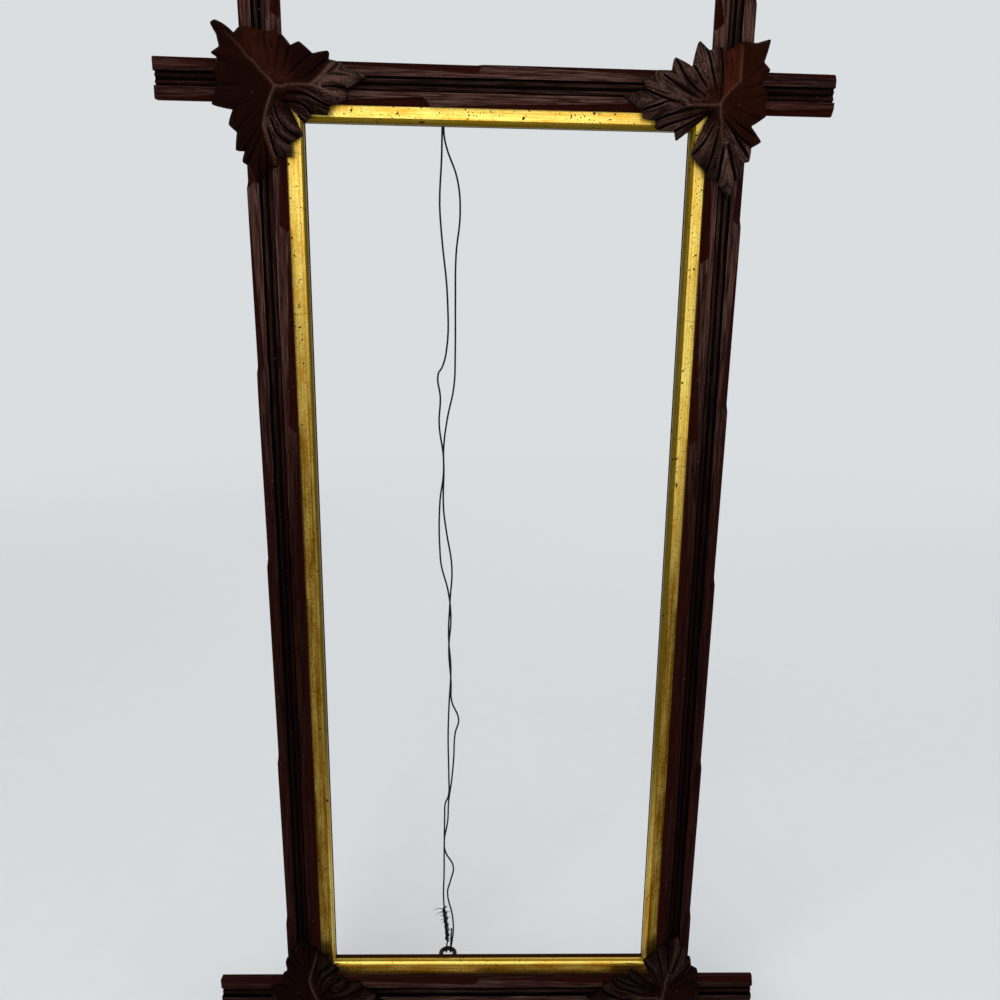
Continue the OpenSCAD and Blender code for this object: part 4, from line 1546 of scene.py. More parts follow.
    def make(self, bench: Bench) -> bpy.types.Object:
        """Makes the leaf's piece."""
        made = bench.piece(f"carved_{self.node}", self.shape(), LeafVarnish("leaf_varnish"), self.crease)
        return bench.settle(made, "leaf_walnut", self.node)


@dataclass
class GiltLiner:
    """The four mitred liner sticks: a flat, a quirk and a bead, with the picture's rebate behind.

    A stick's section is drawn from the opening's edge outward and from the bars' front back.
    """

    sizes: FrameSizes
    lip_t: float = 5.2 * MM
    width: float = 12.0 * MM
    bead_r: float = 2.4 * MM
    quirk_w: float = 0.5 * MM
    quirk_d: float = 0.7 * MM
    rebate_y: float = 13.0 * MM
    rebate_w: float = 6.35 * MM
    gilt_to: float = 9.4 * MM
    edge_r: float = 0.15 * MM
    edge_in: float = 0.05 * MM
    # How far the bead's painted shade reaches from the opening, and how far the painted shade at every height
    # reaches on the bottom stick.
    wide_bead: float = 2.9 * MM
    narrow_bead: float = 1.4 * MM
    bead_shade: float = 0.75 * MM
    hair: float = 0.01 * MM
    merge: float = 0.001 * MM
    crease: float = 35.0
    bead_steps: int = 8
    # The rails' colour of painted shade lower down.
    across_lower_shade: Colour = srgb(128, 82, 8)
    # Painted shade on the stiles' gold: where it starts and where it is full, for the right and the left
    # stile.
    lower_shade: dict[int, Pair] = field(default_factory=lambda: {1: (0.45, 0.31), -1: (0.62, 0.34)})
    tree: bpy.types.NodeTree = field(init=False)

    def __post_init__(self) -> None:
        """Builds the tree that all four sticks share."""
        self.tree = self._stick_tree()

    def section(self) -> list[Pair]:
        """Draws a stick's section.

        Returns:
            Its corners, in order round it.
        """
        thick = self.sizes.bar_t
        bead_y = self.lip_t + self.quirk_d + self.bead_r
        turns = [math.pi / 2 * k / self.bead_steps for k in range(self.bead_steps + 1)]
        bead = [(self.bead_r * (1 - math.cos(t)), bead_y - self.bead_r * math.sin(t)) for t in turns]
        flat = self.bead_r + self.quirk_w
        return [
            (0.0, self.rebate_y),
            (0.0, self.gilt_to),
            *bead,
            (flat, self.lip_t + self.quirk_d),
            (flat + self.edge_in, self.lip_t + self.edge_r),
            (flat + self.edge_r, self.lip_t),
            (self.width, self.lip_t),
            (self.width, thick),
            (self.rebate_w, thick),
            (self.rebate_w, self.rebate_y),
        ]

    def _stick_tree(self) -> bpy.types.NodeTree:
        """Makes the nodes that draw a section out to a stick and mitre both its ends.

        Returns:
            Their tree.
        """
        nodes, given = geometry_tree(
            "mitred_stick", {"Length": "NodeSocketFloat", "Finish": "NodeSocketMaterial"}
        )
        drawn = nodes.add(
            "GeometryNodeExtrudeMesh",
            {"mode": "FACES"},
            {"Mesh": given["Geometry"], "Offset": (0.0, 0.0, 1.0), "Offset Scale": given["Length"],
             "Individual": False},
        )
        foot = nodes.add("GeometryNodeFlipFaces", {}, {"Mesh": given["Geometry"]})
        whole = nodes.join(drawn, foot)
        joined = nodes.add("GeometryNodeMergeByDistance", {}, {"Geometry": whole, "Distance": self.merge})
        axes = nodes.add("ShaderNodeSeparateXYZ", {}, {"Vector": nodes.add("GeometryNodeInputPosition")})
        height = axes.beside("Z") - given["Length"] * 0.5
        run = axes.beside("X") * height.compute("SIGN")
        offset = nodes.add("ShaderNodeCombineXYZ", {}, {"Z": run - given["Length"] * 0.5})
        mitred = nodes.add("GeometryNodeSetPosition", {}, {"Geometry": joined, "Offset": offset})
        nodes.dress(mitred, given["Finish"])
        return nodes.tree

    def _stick(
        self, bench: Bench, name: str, length: float, finish: Finish, place: Matrix, beads: Pair
    ) -> bpy.types.Object:
        """Makes one stick and puts it in place.

        Args:
            bench: Where pieces are made.
            name: The piece's name.
            length: Its length along the opening.
            finish: Its gilding.
            place: Turns its own axes into the frame's.
            beads: How far the bead's painted shade reaches from the opening, and how far its painted shade at
                every height reaches.

        Returns:
            The stick, not yet tied to the frame.
        """
        drawing = bpy.data.meshes.new(name)
        corners = self.section()
        drawing.from_pydata([(u, y, 0.0) for u, y in corners], [], [list(range(len(corners)))])
        made = bench.show(name, drawing)
        made.data = bench.run_nodes(made, self.tree, {"Length": length, "Finish": finish.material()})
        self._paint(made.data, *beads)
        made.data.transform(place)
        shape = bmesh.new()
        shape.from_mesh(made.data)
        bmesh.ops.recalc_face_normals(shape, faces=shape.faces)
        shape.to_mesh(made.data)
        shape.free()
        bench.smooth(made.data, self.crease)
        return made

    def _paint(self, mesh: bpy.types.Mesh, bead_to: float, shade_to: float) -> None:
        """Paints a stick's zones: bare wood on its hidden faces, its bead, and the bead's painted shade.

        Args:
            mesh: The stick's mesh, before it is put in place.
            bead_to: How far the bead's painted shade reaches from the opening.
            shade_to: How far the bead's painted shade at every height reaches, or 0 for none.
        """
        layer = mesh.color_attributes.new(ZONE, "FLOAT_COLOR", "CORNER")
        for face in mesh.polygons:
            u, y, _ = face.center
            shown = y < self.gilt_to + self.hair and u < self.width - self.hair
            bead = shown and u < bead_to
            quirk = shade_to > 0.0 and self.bead_r < u < self.bead_r + self.quirk_w
            shade = shown and (u < shade_to or quirk)
            for loop in face.loop_indices:
                layer.data[loop].color = (float(not shown), float(bead), float(shade), 0.0)

    def make(self, bench: Bench) -> list[bpy.types.Object]:
        """Makes the four sticks.

        Args:
            bench: Where pieces are made.

        Returns:
            The sticks, tied to the frame.
        """
        s = self.sizes
        made = []
        for node, side, run, beads in (
            ("liner_right", 1, Run.STILE, (self.wide_bead, 0.0)),
            ("liner_left", -1, Run.STILE, (self.narrow_bead, 0.0)),
            ("liner_top", 1, Run.RAIL, (self.wide_bead, 0.0)),
            ("liner_bottom", -1, Run.RAIL, (self.wide_bead, self.bead_shade)),
        ):
            if run is Run.STILE:
                rows = ((side, 0, 0, side * s.sight_x), (0, 1, 0, s.front_y), (0, 0, 1, s.middle_z))
                lower_shade_from, lower_shade_full = self.lower_shade[side]
                finish = GoldLeaf(f"gold_{node}", Axis.UP, lower_shade_from=lower_shade_from, lower_shade_full=lower_shade_full)
                length = 2 * s.sight_z
            else:
                rows = ((0, 0, -1, 0), (0, 1, 0, s.front_y), (side, 0, 0, s.middle_z + side * s.sight_z))
                finish = GoldLeaf("gold_leaf_across", Axis.ACROSS, lower_shade=self.across_lower_shade, bead_lower_shade=0.0)
                length = 2 * s.sight_x
            place = Matrix((*rows, (0, 0, 0, 1)))
            stick = self._stick(bench, f"gilt_{node}", length, finish, place, beads)
            made.append(bench.settle(stick, "gilt_pine", node))
        return made


def sweep(points: Sequence[Vector], radius: Callable[[int, float], float], sides: int) -> bmesh.types.BMesh:
    """Draws a round rod along a line of points, closed at both ends.

    Args:
        points: The line.
        radius: The rod's radius at one point's number and one turn, in radians, round it.
        sides: How many sides it has.

    Returns:
        The rod.
    """
    bm = bmesh.new()
    headings = [
        (points[min(i + 1, len(points) - 1)] - points[max(i - 1, 0)]).normalized() for i in range(len(points))
    ]
    side = headings[0].orthogonal().normalized()
    rings = []
    for i, (point, heading) in enumerate(zip(points, headings)):
        side = (side - heading * side.dot(heading)).normalized()
        up = heading.cross(side)
        turns = [2 * math.pi * k / sides for k in range(sides)]
        rings.append(
            [bm.verts.new(point + radius(i, t) * (math.cos(t) * side + math.sin(t) * up)) for t in turns]
        )
    for low, high in zip(rings, rings[1:]):
        for k in range(sides):
            bm.faces.new((low[k], low[(k + 1) % sides], high[(k + 1) % sides], high[k]))
    bm.faces.new(rings[0][::-1])
    bm.faces.new(rings[-1])
    bmesh.ops.recalc_face_normals(bm, faces=bm.faces)
    return bm


@dataclass
class ScrewEye:
    """One screw eye, bent from one rod: a shank with a thread and a ring that lies level."""

    sizes: FrameSizes
    node: str
    ring_r: float = 4.7 * MM
    rod_r: float = 1.5 * MM
    shank: float = 10.0 * MM
    thread_out: float = 3.0 * MM
    thread_pitch: float = 1.3 * MM
    thread_h: float = 0.3 * MM
    step: float = 0.16 * MM
    knee_gap: float = 2.2 * MM
    bend_turn: float = math.radians(26.0)
    open_turn: float = 0.05
    bend_steps: int = 5
    ring_steps: int = 56
    sides: int = 20
    crease: float = 40.0

    def _line(self) -> list[Vector]:
        """Gives the rod's middle line, from the shank's tip round the ring.

        Returns:
            Its points, in the frame's axes.
        """
        low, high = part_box(self.node)
        centre = Vector(((low.x + high.x) / 2, high.y - self.rod_r - self.ring_r, (low.z + high.z) / 2))
        tip_y = self.sizes.back_y - self.shank
        knee = centre.y - self.ring_r - self.knee_gap
        thread_end = self.sizes.back_y + self.thread_out
        count = math.ceil((thread_end - tip_y) / self.step)
        line = [Vector((centre.x, lerp(tip_y, thread_end, k / count), centre.z)) for k in range(count + 1)]
        start = -math.pi / 2 + self.bend_turn
        corner, first = Vector((centre.x, knee, centre.z)), self._on_ring(centre, start)
        turn = Vector((centre.x, centre.y - self.ring_r, centre.z))
        shares = [k / self.bend_steps for k in range(self.bend_steps)]
        line += [(1 - k) ** 2 * corner + 2 * k * (1 - k) * turn + k**2 * first for k in shares]
        end = 1.5 * math.pi - self.open_turn
        return line + [
            self._on_ring(centre, lerp(start, end, k / self.ring_steps)) for k in range(self.ring_steps + 1)
        ]

    def _on_ring(self, centre: Vector, turn: float) -> Vector:
        """Gives a point on the ring's middle line."""
        return centre + self.ring_r * Vector((math.cos(turn), math.sin(turn), 0.0))

    def make(self, bench: Bench) -> bpy.types.Object:
        """Makes the eye's piece.

        Args:
            bench: Where pieces are made.

        Returns:
            The eye, tied to the frame.
        """
        line = self._line()
        threaded = self.sizes.back_y + self.thread_out - self.thread_pitch

        def radius(i: int, turn: float) -> float:
            """Gives the rod's radius, with the thread's crest winding round the shank.

            Args:
                i: The number of a point on the line.
                turn: The turn round the rod, in radians.

            Returns:
                The radius there.
            """
            if line[i].y > threaded or i > len(line) - self.ring_steps:
                return self.rod_r
            wave = math.cos(2 * math.pi * line[i].y / self.thread_pitch - turn)
            return self.rod_r - self.thread_h * (0.5 - 0.5 * wave)

        shape = sweep(line, radius, self.sides)
        made = bench.piece(f"bent_{self.node}", shape, BrownedIron("browned_iron"), self.crease)
        return bench.settle(made, "dark_iron", self.node)


RISING: tuple[Triple, ...] = (
    (-29.3, 35.3, -264), (-29.8, 34.8, -256), (-31, 34.3, -244), (-31.8, 34, -234), (-31.4, 33.6, -212),
    (-31.2, 33.3, -190), (-30.8, 33.1, -168), (-30.4, 33, -159), (-28.3, 33, -153), (-28, 33, -140),
    (-28.4, 33, -110), (-27.8, 33.4, -88), (-26.6, 34, -62), (-28, 34, -40), (-27, 33.8, -16),
    (-25.8, 33.3, 6), (-29.2, 33, 30), (-30.8, 33, 44), (-30.7, 33, 76), (-33.2, 33, 96),
    (-32.4, 33, 112), (-33.6, 33, 126), (-31.5, 33, 129.5), (-29, 33, 138), (-28, 33, 168),
    (-31.4, 33, 206), (-32.3, 33.3, 222), (-31.2, 34.4, 246), (-30.8, 35.2, 262),
)
FALLING: tuple[Triple, ...] = (
    (-30.2, 39.4, 260), (-29, 38.8, 253), (-22.6, 37.5, 235), (-21, 37, 217), (-23.3, 36.7, 194),
    (-23.7, 36.4, 165), (-23.8, 36.2, 138), (-24.6, 36, 118), (-28.5, 36, 99), (-30.7, 36, 82),
    (-31, 36, 64), (-33.1, 36, 48), (-33.2, 36, 14), (-32.4, 36, 6), (-28.4, 36, -10),
    (-26.6, 35.8, -28), (-28, 35.8, -50), (-26.6, 35.8, -72), (-26.2, 35.8, -86), (-21.7, 35.8, -99),
    (-24, 36, -109), (-25, 36, -128), (-26.4, 36, -144), (-28.4, 36, -160), (-29, 36, -174),
    (-31.4, 36.2, -190), (-30.6, 36.5, -198), (-25.4, 37.3, -210), (-27.4, 38, -222), (-29.4, 38.4, -231),
    (-26, 37.8, -250), (-25.4, 36.8, -261),
)


@dataclass
class HangingWire:
    """The dark wire, doubled between the eyes, with its tail wound round the rising strand.

    The route is in millimetres from the middle of the opening, with Y from the bars' front.
    """

    sizes: FrameSizes
    diameter: float = 1.1
    length: float = 1.218
    eye: Triple = (-29.0, 33.2, 276.35)
    ring_r: float = 4.7
    bend_r: float = 2.35
    bend_steps: int = 5
    rising_off: float = -1.2
    top_off: float = -1.0
    falling_off: float = 1.6
    tail_foot: Triple = (-0.6, -0.6, 4.2)
    free_end: Triple = (2.2, 0.4, 14.0)
    tail_turns: int = 6
    tail_ring: int = 12
    tail_low: float = -268.0
    tail_pitch: float = 4.7
    tail_r: float = 1.12
    tail_slack: float = 0.06
    tail_slack_least: float = 0.3
    tail_sway: float = 0.1
    sway_noise: Pair = (0.19, 4.3)
    slack_noise: Pair = (0.23, 7.1)
    fray_r: float = 0.27
    fray_taper: float = 0.03
    fray_out: float = 0.9
    fray_lift: float = 0.5
    fray_droop: float = 0.7
    fray_steps: int = 5
    wound_r: float = 0.36
    strand_sides: int = 8
    round_steps: int = 3
    smooth_steps: int = 5
    frayed: tuple[Triple, ...] = (
        (-242.0, 170.0, 6.5), (-243.5, 200.0, 5.0), (-246.0, 150.0, 3.5), (-244.5, 20.0, 3.0),
        (-250.0, 185.0, 2.5), (-258.0, 350.0, 3.0), (-266.0, 340.0, 3.5), (-245.0, 300.0, 3.0),
        (-247.5, 160.0, 3.0), (-249.0, 20.0, 2.2), (-252.0, 200.0, 2.0),
    )
    wound: tuple[tuple[float, int, int], ...] = ((2.1, 2, 3), (4.2, 9, 8))

    def _strand_at(self, z: float) -> Vector:
        """Gives the rising strand's place at one height.

        Args:
            z: The height above the opening's middle.

        Returns:
            The place, in millimetres.
        """
        hole = (self.eye[0] + self.rising_off, self.eye[1] + self.ring_r - self.bend_r, -self.eye[2])
        x, y = (along_table(z, [(p[2], p[axis]) for p in (hole, *RISING)]) for axis in (0, 1))
        return Vector((x, y, z))

    def _tail_at(self, i: int, phase: float = 0.0) -> Vector:
        """Gives a point of the unevenly wound tail.

        Args:
            i: The point's number, from the tail's foot.
            phase: Turns the winding, in radians.

        Returns:
            The point, in millimetres.
        """
        turn = phase - 2 * math.pi * i / self.tail_ring
        sway = noise.noise(Vector((self.sway_noise[0] * i, self.sway_noise[1], 0.0)))
        slack = noise.noise(Vector((self.slack_noise[0] * i, 0.0, self.slack_noise[1])))
        height = self.tail_low + self.tail_pitch * (i / self.tail_ring + self.tail_sway * sway)
        out = self.tail_r + self.tail_slack * max(0.0, self.tail_slack_least + slack)
        return self._strand_at(height) + out * Vector((math.cos(turn), math.sin(turn), 0.0))

    def _round_ring(self, x: float, z: float, turn: float) -> list[Vector]:
        """Gives the bend round a ring's rear, from the hole outward.

        Args:
            x: Its place across.
            z: The ring's height.
            turn: 1 for a bend upward, -1 for one downward.

        Returns:
            The bend's points, in millimetres.
        """
        rear = self.eye[1] + self.ring_r
        bends = [math.radians(180 / self.bend_steps * k) for k in range(self.bend_steps + 1)]
        return [
            Vector((x, rear - self.bend_r * math.cos(b), z + turn * self.bend_r * math.sin(b))) for b in bends
        ]

    def route(self) -> list[Vector]:
        """Lists the wire's points, from its tail to its free end.

        Returns:
            The points, in metres in the frame's axes.
        """
        x, y, z = self.eye
        behind = y + self.ring_r + self.bend_r
        foot, end = (
            Vector((x + off[0], behind + off[1], -z + off[2])) for off in (self.tail_foot, self.free_end)
        )
        points = [
            *(self._tail_at(i) for i in range(self.tail_turns * self.tail_ring, -1, -1)),
            foot,
            *self._round_ring(x + self.rising_off, -z, -1)[::-1],
            *map(Vector, RISING),
            *self._round_ring(x + self.top_off, z, 1),
            *map(Vector, FALLING),
            *self._round_ring(x + self.falling_off, -z, -1),
            end,
        ]
        return [self._in_frame(point) for point in points]

    def _in_frame(self, point: Vector) -> Vector:
        """Turns a point of the route into the frame's axes, in metres."""
        return point * MM + Vector((0.0, self.sizes.front_y, self.sizes.middle_z))

    def _fray(self, bench: Bench, finish: Finish) -> bpy.types.Object:
        """Makes the thin broken strands that stand off the tail or lie between its turns.

        Args:
            bench: Where pieces are made.
            finish: The wire's finish.

        Returns:
            The strands, tied to the frame.
        """
        lines = []
        shares = [k / self.fray_steps for k in range(self.fray_steps + 1)]
        rises = [self.fray_lift * k - self.fray_droop * k * k for k in shares]
        for z, turn, length in self.frayed:
            way = Vector((math.cos(math.radians(turn)), math.sin(math.radians(turn)), 0.0))
            foot = self._strand_at(z) + self.fray_out * way
            line = [foot + length * (k * way + Vector((0.0, 0.0, rise))) for k, rise in zip(shares, rises)]
            lines.append((self.fray_r, self.fray_taper, line))
        last = self.tail_turns * self.tail_ring
        for phase, first, short in self.wound:
            line = [self._tail_at(i, phase) for i in range(first, last - short)]
            lines.append((self.wound_r, 0.0, line))
        whole = bmesh.new()
        for thick, taper, line in lines:
            strand = bpy.data.meshes.new("strand")
            path = [self._in_frame(point) for point in line]
            shape = sweep(path, lambda i, _, r=thick, t=taper: (r - t * i) * MM, self.strand_sides)
            shape.to_mesh(strand)
            shape.free()
            whole.from_mesh(strand)
            bpy.data.meshes.remove(strand)
        return bench.settle(bench.piece("frayed_strands", whole, finish), "dark_wire")

    def make(self, bench: Bench) -> bpy.types.Object:
        """Args:
            bench: Where pieces are made.

        Returns:
            The wire.
        """
        points = self.route()
        curve = bpy.data.curves.new("slack_wire", "CURVE")
        curve.dimensions = "3D"
        curve.bevel_depth = self.diameter * MM / 2
        curve.bevel_resolution = self.round_steps
        curve.resolution_u = self.smooth_steps
        curve.use_fill_caps = True
        line = curve.splines.new("BEZIER")
        line.bezier_points.add(len(points) - 1)
        for knot, point in zip(line.bezier_points, points):
            knot.co = point
            knot.handle_left_type = knot.handle_right_type = "AUTO"
        finish = BrownedIron("wire_brown", iron=srgb(20, 17, 16), rust=srgb(32, 21, 16), shine=0.5)
        curve.materials.append(finish.material())
        made = bench.show("slack_wire", curve)
        bench.settle(made, "dark_wire", "hanging_wire")
        self.diameter * MM
        self._fray(bench, finish)
        return made


@dataclass(frozen=True)
class NailSize:
    """One kind of nail.

    Attributes:
        head_r: Radius of its domed head.
        head_h: Height of the head, as a share of that.
        shank_r: Radius of its shank.
        shank_l: Length of its shank.
    """

    head_r: float
    head_h: float
    shank_r: float
    shank_l: float

    def inputs(self) -> dict[str, float]:
        """Gives the value of each input of the nails' nodes.

        Returns:
            The lengths by the names of the inputs.
        """
        return {
            "Head radius": self.head_r,
            "Head height": self.head_h,
            "Shank radius": self.shank_r,
            "Shank length": self.shank_l,
        }


@dataclass
class Nailing:
    """The nails and brads, set by geometry nodes on points that carry the way they face."""

    sizes: FrameSizes
    lap_nail: NailSize = NailSize(2.2 * MM, 0.12, 0.9 * MM, 14.0 * MM)
    leaf_brad: NailSize = NailSize(0.65 * MM, 0.35, 0.6 * MM, 11.0 * MM)
    liner_brad: NailSize = NailSize(0.65 * MM, 0.35, 0.6 * MM, 11.6 * MM)
    leaf_spots: Line = ((-3.0, 6.5), (6.0, -2.5))
    rebate_w: float = 6.35 * MM
    brad_y: float = 16.0 * MM
    side_shares: tuple[float, ...] = (-1 / 3, 0, 1 / 3)
    end_shares: tuple[float, ...] = (-1 / 4, 1 / 4)
    shank_sides: int = 12
    head_sides: int = 20
    head_rings: int = 10
    crease: float = 45.0
    tree: bpy.types.NodeTree = field(init=False)

    def __post_init__(self) -> None:
        """Builds the tree that all the nails share."""
        self.tree = self._nail_tree()

    def _nail_tree(self) -> bpy.types.NodeTree:
        """Makes the nodes that put a shank and a low domed head on each point.

        Returns:
            Their tree.
        """
        lengths = {label: "NodeSocketFloat" for label in self.lap_nail.inputs()}
        nodes, given = geometry_tree("set_nails", {**lengths, "Finish": "NodeSocketMaterial"})
        shank = nodes.add(
            "GeometryNodeMeshCylinder", {},
            {"Vertices": self.shank_sides, "Radius": given["Shank radius"], "Depth": given["Shank length"]},
        )
        drop = nodes.add("ShaderNodeCombineXYZ", {}, {"Z": given["Shank length"] * -0.5})
        shank = nodes.add("GeometryNodeTransform", {}, {"Geometry": shank, "Translation": drop})
        head = nodes.add(
            "GeometryNodeMeshUVSphere", {},
            {"Segments": self.head_sides, "Rings": self.head_rings, "Radius": given["Head radius"]},
        )
        squash = nodes.add("ShaderNodeCombineXYZ", {}, {"X": 1.0, "Y": 1.0, "Z": given["Head height"]})
        head = nodes.add("GeometryNodeTransform", {}, {"Geometry": head, "Scale": squash})
        facing = nodes.add(
            "GeometryNodeInputNamedAttribute", {"data_type": "FLOAT_VECTOR"}, {"Name": "facing"}
        )
        turn = nodes.add("FunctionNodeAlignRotationToVector", {"axis": "Z"}, {"Vector": facing})
        nails = nodes.add(
            "GeometryNodeInstanceOnPoints", {},
            {"Points": given["Geometry"], "Instance": nodes.join(shank, head), "Rotation": turn},
        )
        nodes.dress(nails, given["Finish"])
        return nodes.tree

    def _set(
        self,
        bench: Bench,
        node: str,
        spots: Sequence[tuple[Vector, Vector]],
        size: NailSize,
        finish: BrownedIron,
    ) -> bpy.types.Object:
        """Makes one kind of nail.

        Args:
            bench: Where pieces are made.
            node: The solid that the nails stand for.
            spots: The place of each head, and the way that it faces.
            size: The nails' lengths.
            finish: The nails' finish.

        Returns:
            The nails, tied to the frame.
        """
        points = bpy.data.meshes.new(node)
        points.from_pydata([place for place, _ in spots], [], [])
        facing = points.attributes.new("facing", "FLOAT_VECTOR", "POINT")
        for datum, (_, way) in zip(facing.data, spots):
            datum.vector = way
        made = bench.show(f"set_{node}", points)
        values = {**size.inputs(), "Finish": finish.material()}
        made.data = bench.run_nodes(made, self.tree, values)
        bench.smooth(made.data, self.crease)
        return bench.settle(made, "dark_iron", node)

    def make(self, bench: Bench, leaves: Sequence[CarvedLeaf]) -> list[bpy.types.Object]:
        """Makes the lap nails, the leaf brads and the liner brads.

        Args:
            bench: Where pieces are made.
            leaves: The leaves that the leaf brads hold.

        Returns:
            The three pieces.
        """
        s = self.sizes
        back, front = Vector((0, 1, 0)), Vector((0, -1, 0))
        laps = [
            (Vector((x * s.cross_x, s.back_y, s.middle_z + z * s.cross_z)), back)
            for x in (-1, 1)
            for z in (-1, 1)
        ]
        brads = [(leaf.over(spot), front) for leaf in leaves for spot in self.leaf_spots]
        depth_y = s.front_y + self.brad_y
        liner = []
        for side in (-1, 1):
            x, z = side * (s.sight_x + self.rebate_w), s.middle_z + side * (s.sight_z + self.rebate_w)
            for share in self.side_shares:
                place = Vector((x, depth_y, s.middle_z + 2 * share * s.sight_z))
                liner.append((place, Vector((-side, 0, 0))))
            for share in self.end_shares:
                place = Vector((2 * share * s.sight_x, depth_y, z))
                liner.append((place, Vector((0, 0, -side))))
        iron = BrownedIron("browned_iron")
        stained = BrownedIron("stained_iron", iron=srgb(40, 24, 20), rust=srgb(24, 11, 8), shine=0.5)
        return [
            self._set(bench, "lap_nails", laps, self.lap_nail, iron),
            self._set(bench, "leaf_brads", brads, self.leaf_brad, stained),
            self._set(bench, "liner_brads", liner, self.liner_brad, iron),
        ]


@dataclass(frozen=True)
class PhotoCamera:
    """The camera that sees the frame as the photograph does."""

    place: Triple = (4.86, -552.7, 211.6)
    pitch: float = 0.2689
    yaw: float = -0.0355
    roll: float = 0.0218
    lens: float = 36.0
    sensor: float = 36.0
    shift_x: float = -0.0366
    reach: Pair = (0.01, 50.0)

    def make(self, bench: Bench, sizes: FrameSizes) -> bpy.types.Object:
        """Sets the scene's camera up.

        Args:
            bench: Where objects are made.
            sizes: The frame's places. The camera's place is from the opening's middle, in millimetres,
                with Y from the bars' front.

        Returns:
            The camera.
        """
        data = bpy.data.cameras.new("photo_camera")
        data.lens, data.sensor_width, data.shift_x = self.lens, self.sensor, self.shift_x
        data.clip_start, data.clip_end = self.reach
        made = bench.show("photo_camera", data)
        level = Matrix(((1, 0, 0), (0, 0, -1), (0, 1, 0)))
        turn = (
            Matrix.Rotation(self.roll, 3, "Z")
            @ Matrix.Rotation(self.pitch, 3, "X")
            @ Matrix.Rotation(self.yaw, 3, "Y")
            @ level
        )
        right, down, ahead = turn
        basis = Matrix((right, -down, -ahead)).transposed().to_4x4()
        spot = Vector(self.place) * MM + Vector((0.0, sizes.front_y, sizes.middle_z))
        made.matrix_world = Matrix.Translation(spot) @ basis
        bench.scene.camera = made
        return made


ROOM_TONE = srgb(218, 222, 224)


@dataclass(frozen=True)
class Softbox:
    """One soft square lamp."""

    name: str
    place: Triple
    aim: Triple
    side: float
    power: float


@dataclass(frozen=True)
class PaleFloor(Finish):
    """The plain pale floor, which goes over into its pale surroundings farther out."""

    name: str = "pale_floor"
    pale: Colour = srgb(240, 241, 242)
    mottled: Colour = srgb(210, 214, 216)
    far: Colour = ROOM_TONE
    mottle: Grain = Grain(40.0, 40.0, 3.0)
    fade_from: float = 0.5
    fade_to: float = 2.0

    def paint(self, nodes: NodeBench, place: Signal, zone: Signal) -> dict[str, Feed]:
        """Gives one pale tone with a faint mottle."""
        mottle = nodes.grain(place, self.mottle)
        return {"Base Color": nodes.mix(mottle * 0.1, self.pale, self.mottled), "Roughness": 0.8}

    def surface(self, nodes: NodeBench, place: Signal, zone: Signal) -> Signal:
        """Mixes the floor with the tone of its surroundings by the distance from the frame.

        Args:
            nodes: The material's nodes.
            place: Object coordinates.
            zone: The zone colour.

        Returns:
            The floor's shader.
        """
        near = super().surface(nodes, place, zone)
        far = nodes.add("ShaderNodeEmission", {}, {"Color": self.far, "Strength": 1.0})
        away = nodes.add("ShaderNodeVectorMath", {"operation": "LENGTH"}, {0: place}, out="Value")
        share = away.step(self.fade_from, self.fade_to)
        return nodes.add("ShaderNodeMixShader", {}, {0: share, 1: near, 2: far})


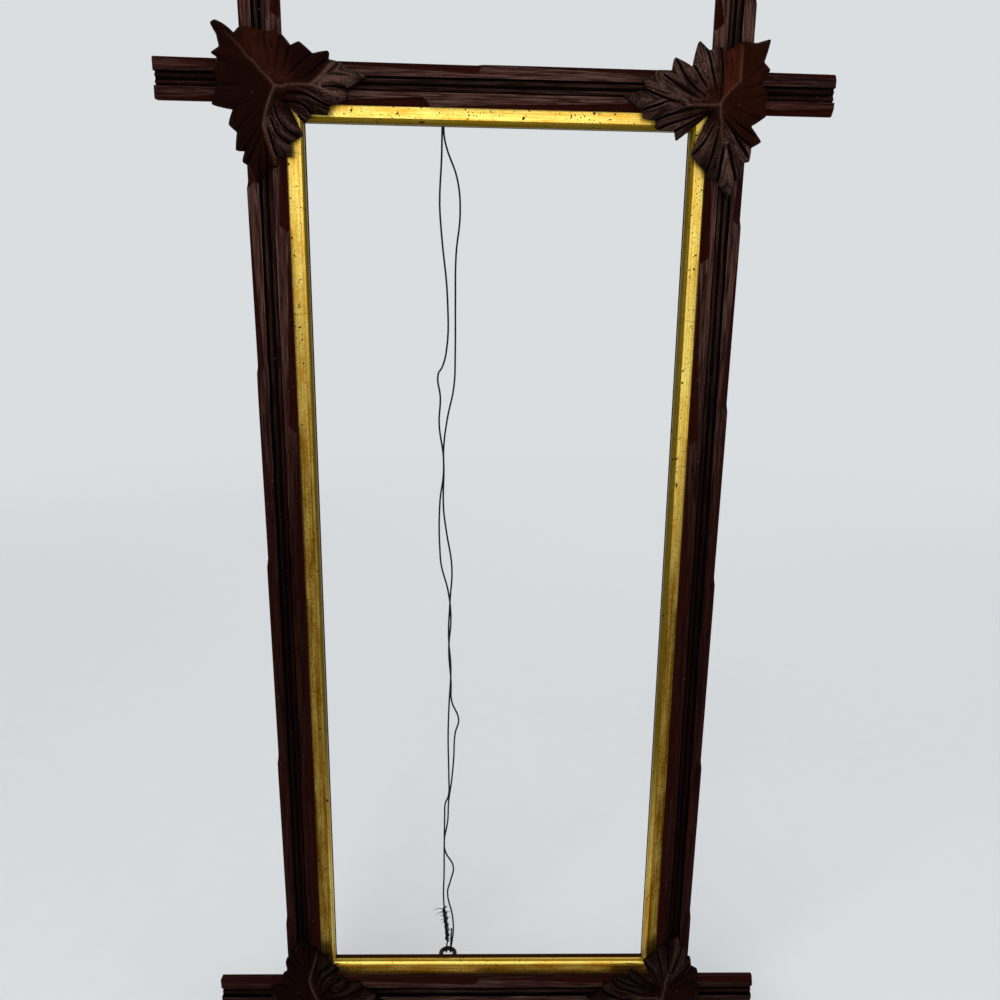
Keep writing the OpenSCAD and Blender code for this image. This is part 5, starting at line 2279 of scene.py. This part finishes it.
@dataclass(frozen=True)
class Studio:
    """The pale floor, the pale surroundings and the soft lamps."""

    pale: Colour = ROOM_TONE
    ambient: float = 0.65
    floor_half: float = 4.0
    lamps: tuple[Softbox, ...] = (
        Softbox("key_softbox", (-0.7, -1.5, 1.9), (0.0, 0.0, 0.4), 1.2, 18.0),
        Softbox("front_softbox", (-0.1, -1.9, 0.9), (0.0, 0.0, 0.45), 1.0, 4.0),
        Softbox("fill_softbox", (1.4, -1.1, 1.0), (0.0, 0.0, 0.35), 1.0, 4.0),
        Softbox("rear_softbox", (0.3, 1.6, 1.6), (0.0, 0.0, 0.35), 1.2, 8.0),
    )

    def make(self, bench: Bench) -> None:
        """Builds the surroundings.

        Args:
            bench: Where objects are made.
        """
        half = self.floor_half
        plane = bpy.data.meshes.new("floor")
        corners = [(-half, -half, 0), (half, -half, 0), (half, half, 0), (-half, half, 0)]
        plane.from_pydata(corners, [], [(0, 1, 2, 3)])
        plane.materials.append(PaleFloor().material())
        bench.show("floor", plane)
        for lamp in self.lamps:
            data = bpy.data.lights.new(lamp.name, "AREA")
            data.shape, data.size, data.energy = "SQUARE", lamp.side, lamp.power
            made = bench.show(lamp.name, data)
            way = Vector(lamp.aim) - Vector(lamp.place)
            turn = way.to_track_quat("-Z", "Y").to_matrix().to_4x4()
            made.matrix_world = Matrix.Translation(lamp.place) @ turn
        world = bpy.data.worlds.new("pale_room")
        bench.scene.world = world
        world.use_nodes = True
        world.node_tree.nodes.clear()
        nodes = NodeBench(world.node_tree)
        rays = nodes.add("ShaderNodeLightPath", out="Is Camera Ray")
        seen = rays + rays.beside("Is Glossy Ray") + rays.beside("Is Transmission Ray")
        strength = self.ambient + seen.compute("MINIMUM", 1.0) * (1.0 - self.ambient)
        sky = nodes.add("ShaderNodeBackground", {}, {"Color": self.pale, "Strength": strength})
        nodes.add("ShaderNodeOutputWorld", {}, {"Surface": sky})
        bench.scene.view_settings.view_transform = "Standard"


def main() -> None:
    """Builds the dressed frame in order."""
    logging.basicConfig(level=logging.INFO, format="%(name)s: %(message)s")
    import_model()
    sizes = FrameSizes.read()
    bench = Bench(bpy.context.scene)
    PhotoCamera().make(bench, sizes)
    HangingWire(sizes).make(bench)
    Studio().make(bench)
    bars = (
        CarvedBar(sizes, "stile_left", Run.STILE, True,
                  (1.2, 0.8, 0.385, -0.015, -0.515, -0.93, -1.34),
                  (0.885, 0.51, 0.08, -0.41, -0.855, -1.36)),
        CarvedBar(sizes, "stile_right", Run.STILE, False,
                  (1.2, 0.755, 0.37, -0.04, -0.51, -0.93, -1.36),
                  (1.25, 0.83, 0.445, 0.045, -0.42, -0.84, -1.34)),
        CarvedBar(sizes, "rail_top", Run.RAIL, False, (1.2, 0.38, -0.9, -1.9), (1.2, 0.11, -1.28, -2.1)),
        CarvedBar(sizes, "rail_bottom", Run.RAIL, True, (1.25, 0.1, -0.95, -1.9), (1.15, 0.2, -1.1, -2)),
    )
    leaves = (
        CarvedLeaf(sizes, "leaf_top_left", False, True, LEFT_LEAF, (8, 3.5), top_light=0.86),
        CarvedLeaf(sizes, "leaf_top_right", True, True, RIGHT_LEAF, (6, 6.5), top_light=0.9),
        # The lower leaves get less of the painted light from above.
        CarvedLeaf(sizes, "leaf_bottom_left", False, False, LEFT_LEAF, (11, -3), top_light=0.3),
        CarvedLeaf(sizes, "leaf_bottom_right", True, False, RIGHT_LEAF, (6, 0.5), top_light=0.3),
    )
    for maker in (*bars, *leaves, GiltLiner(sizes), ScrewEye(sizes, "screw_eye_top"),
                  ScrewEye(sizes, "screw_eye_bottom")):
        maker.make(bench)
    Nailing(sizes).make(bench, leaves)


if __name__ == "__main__":
    main()
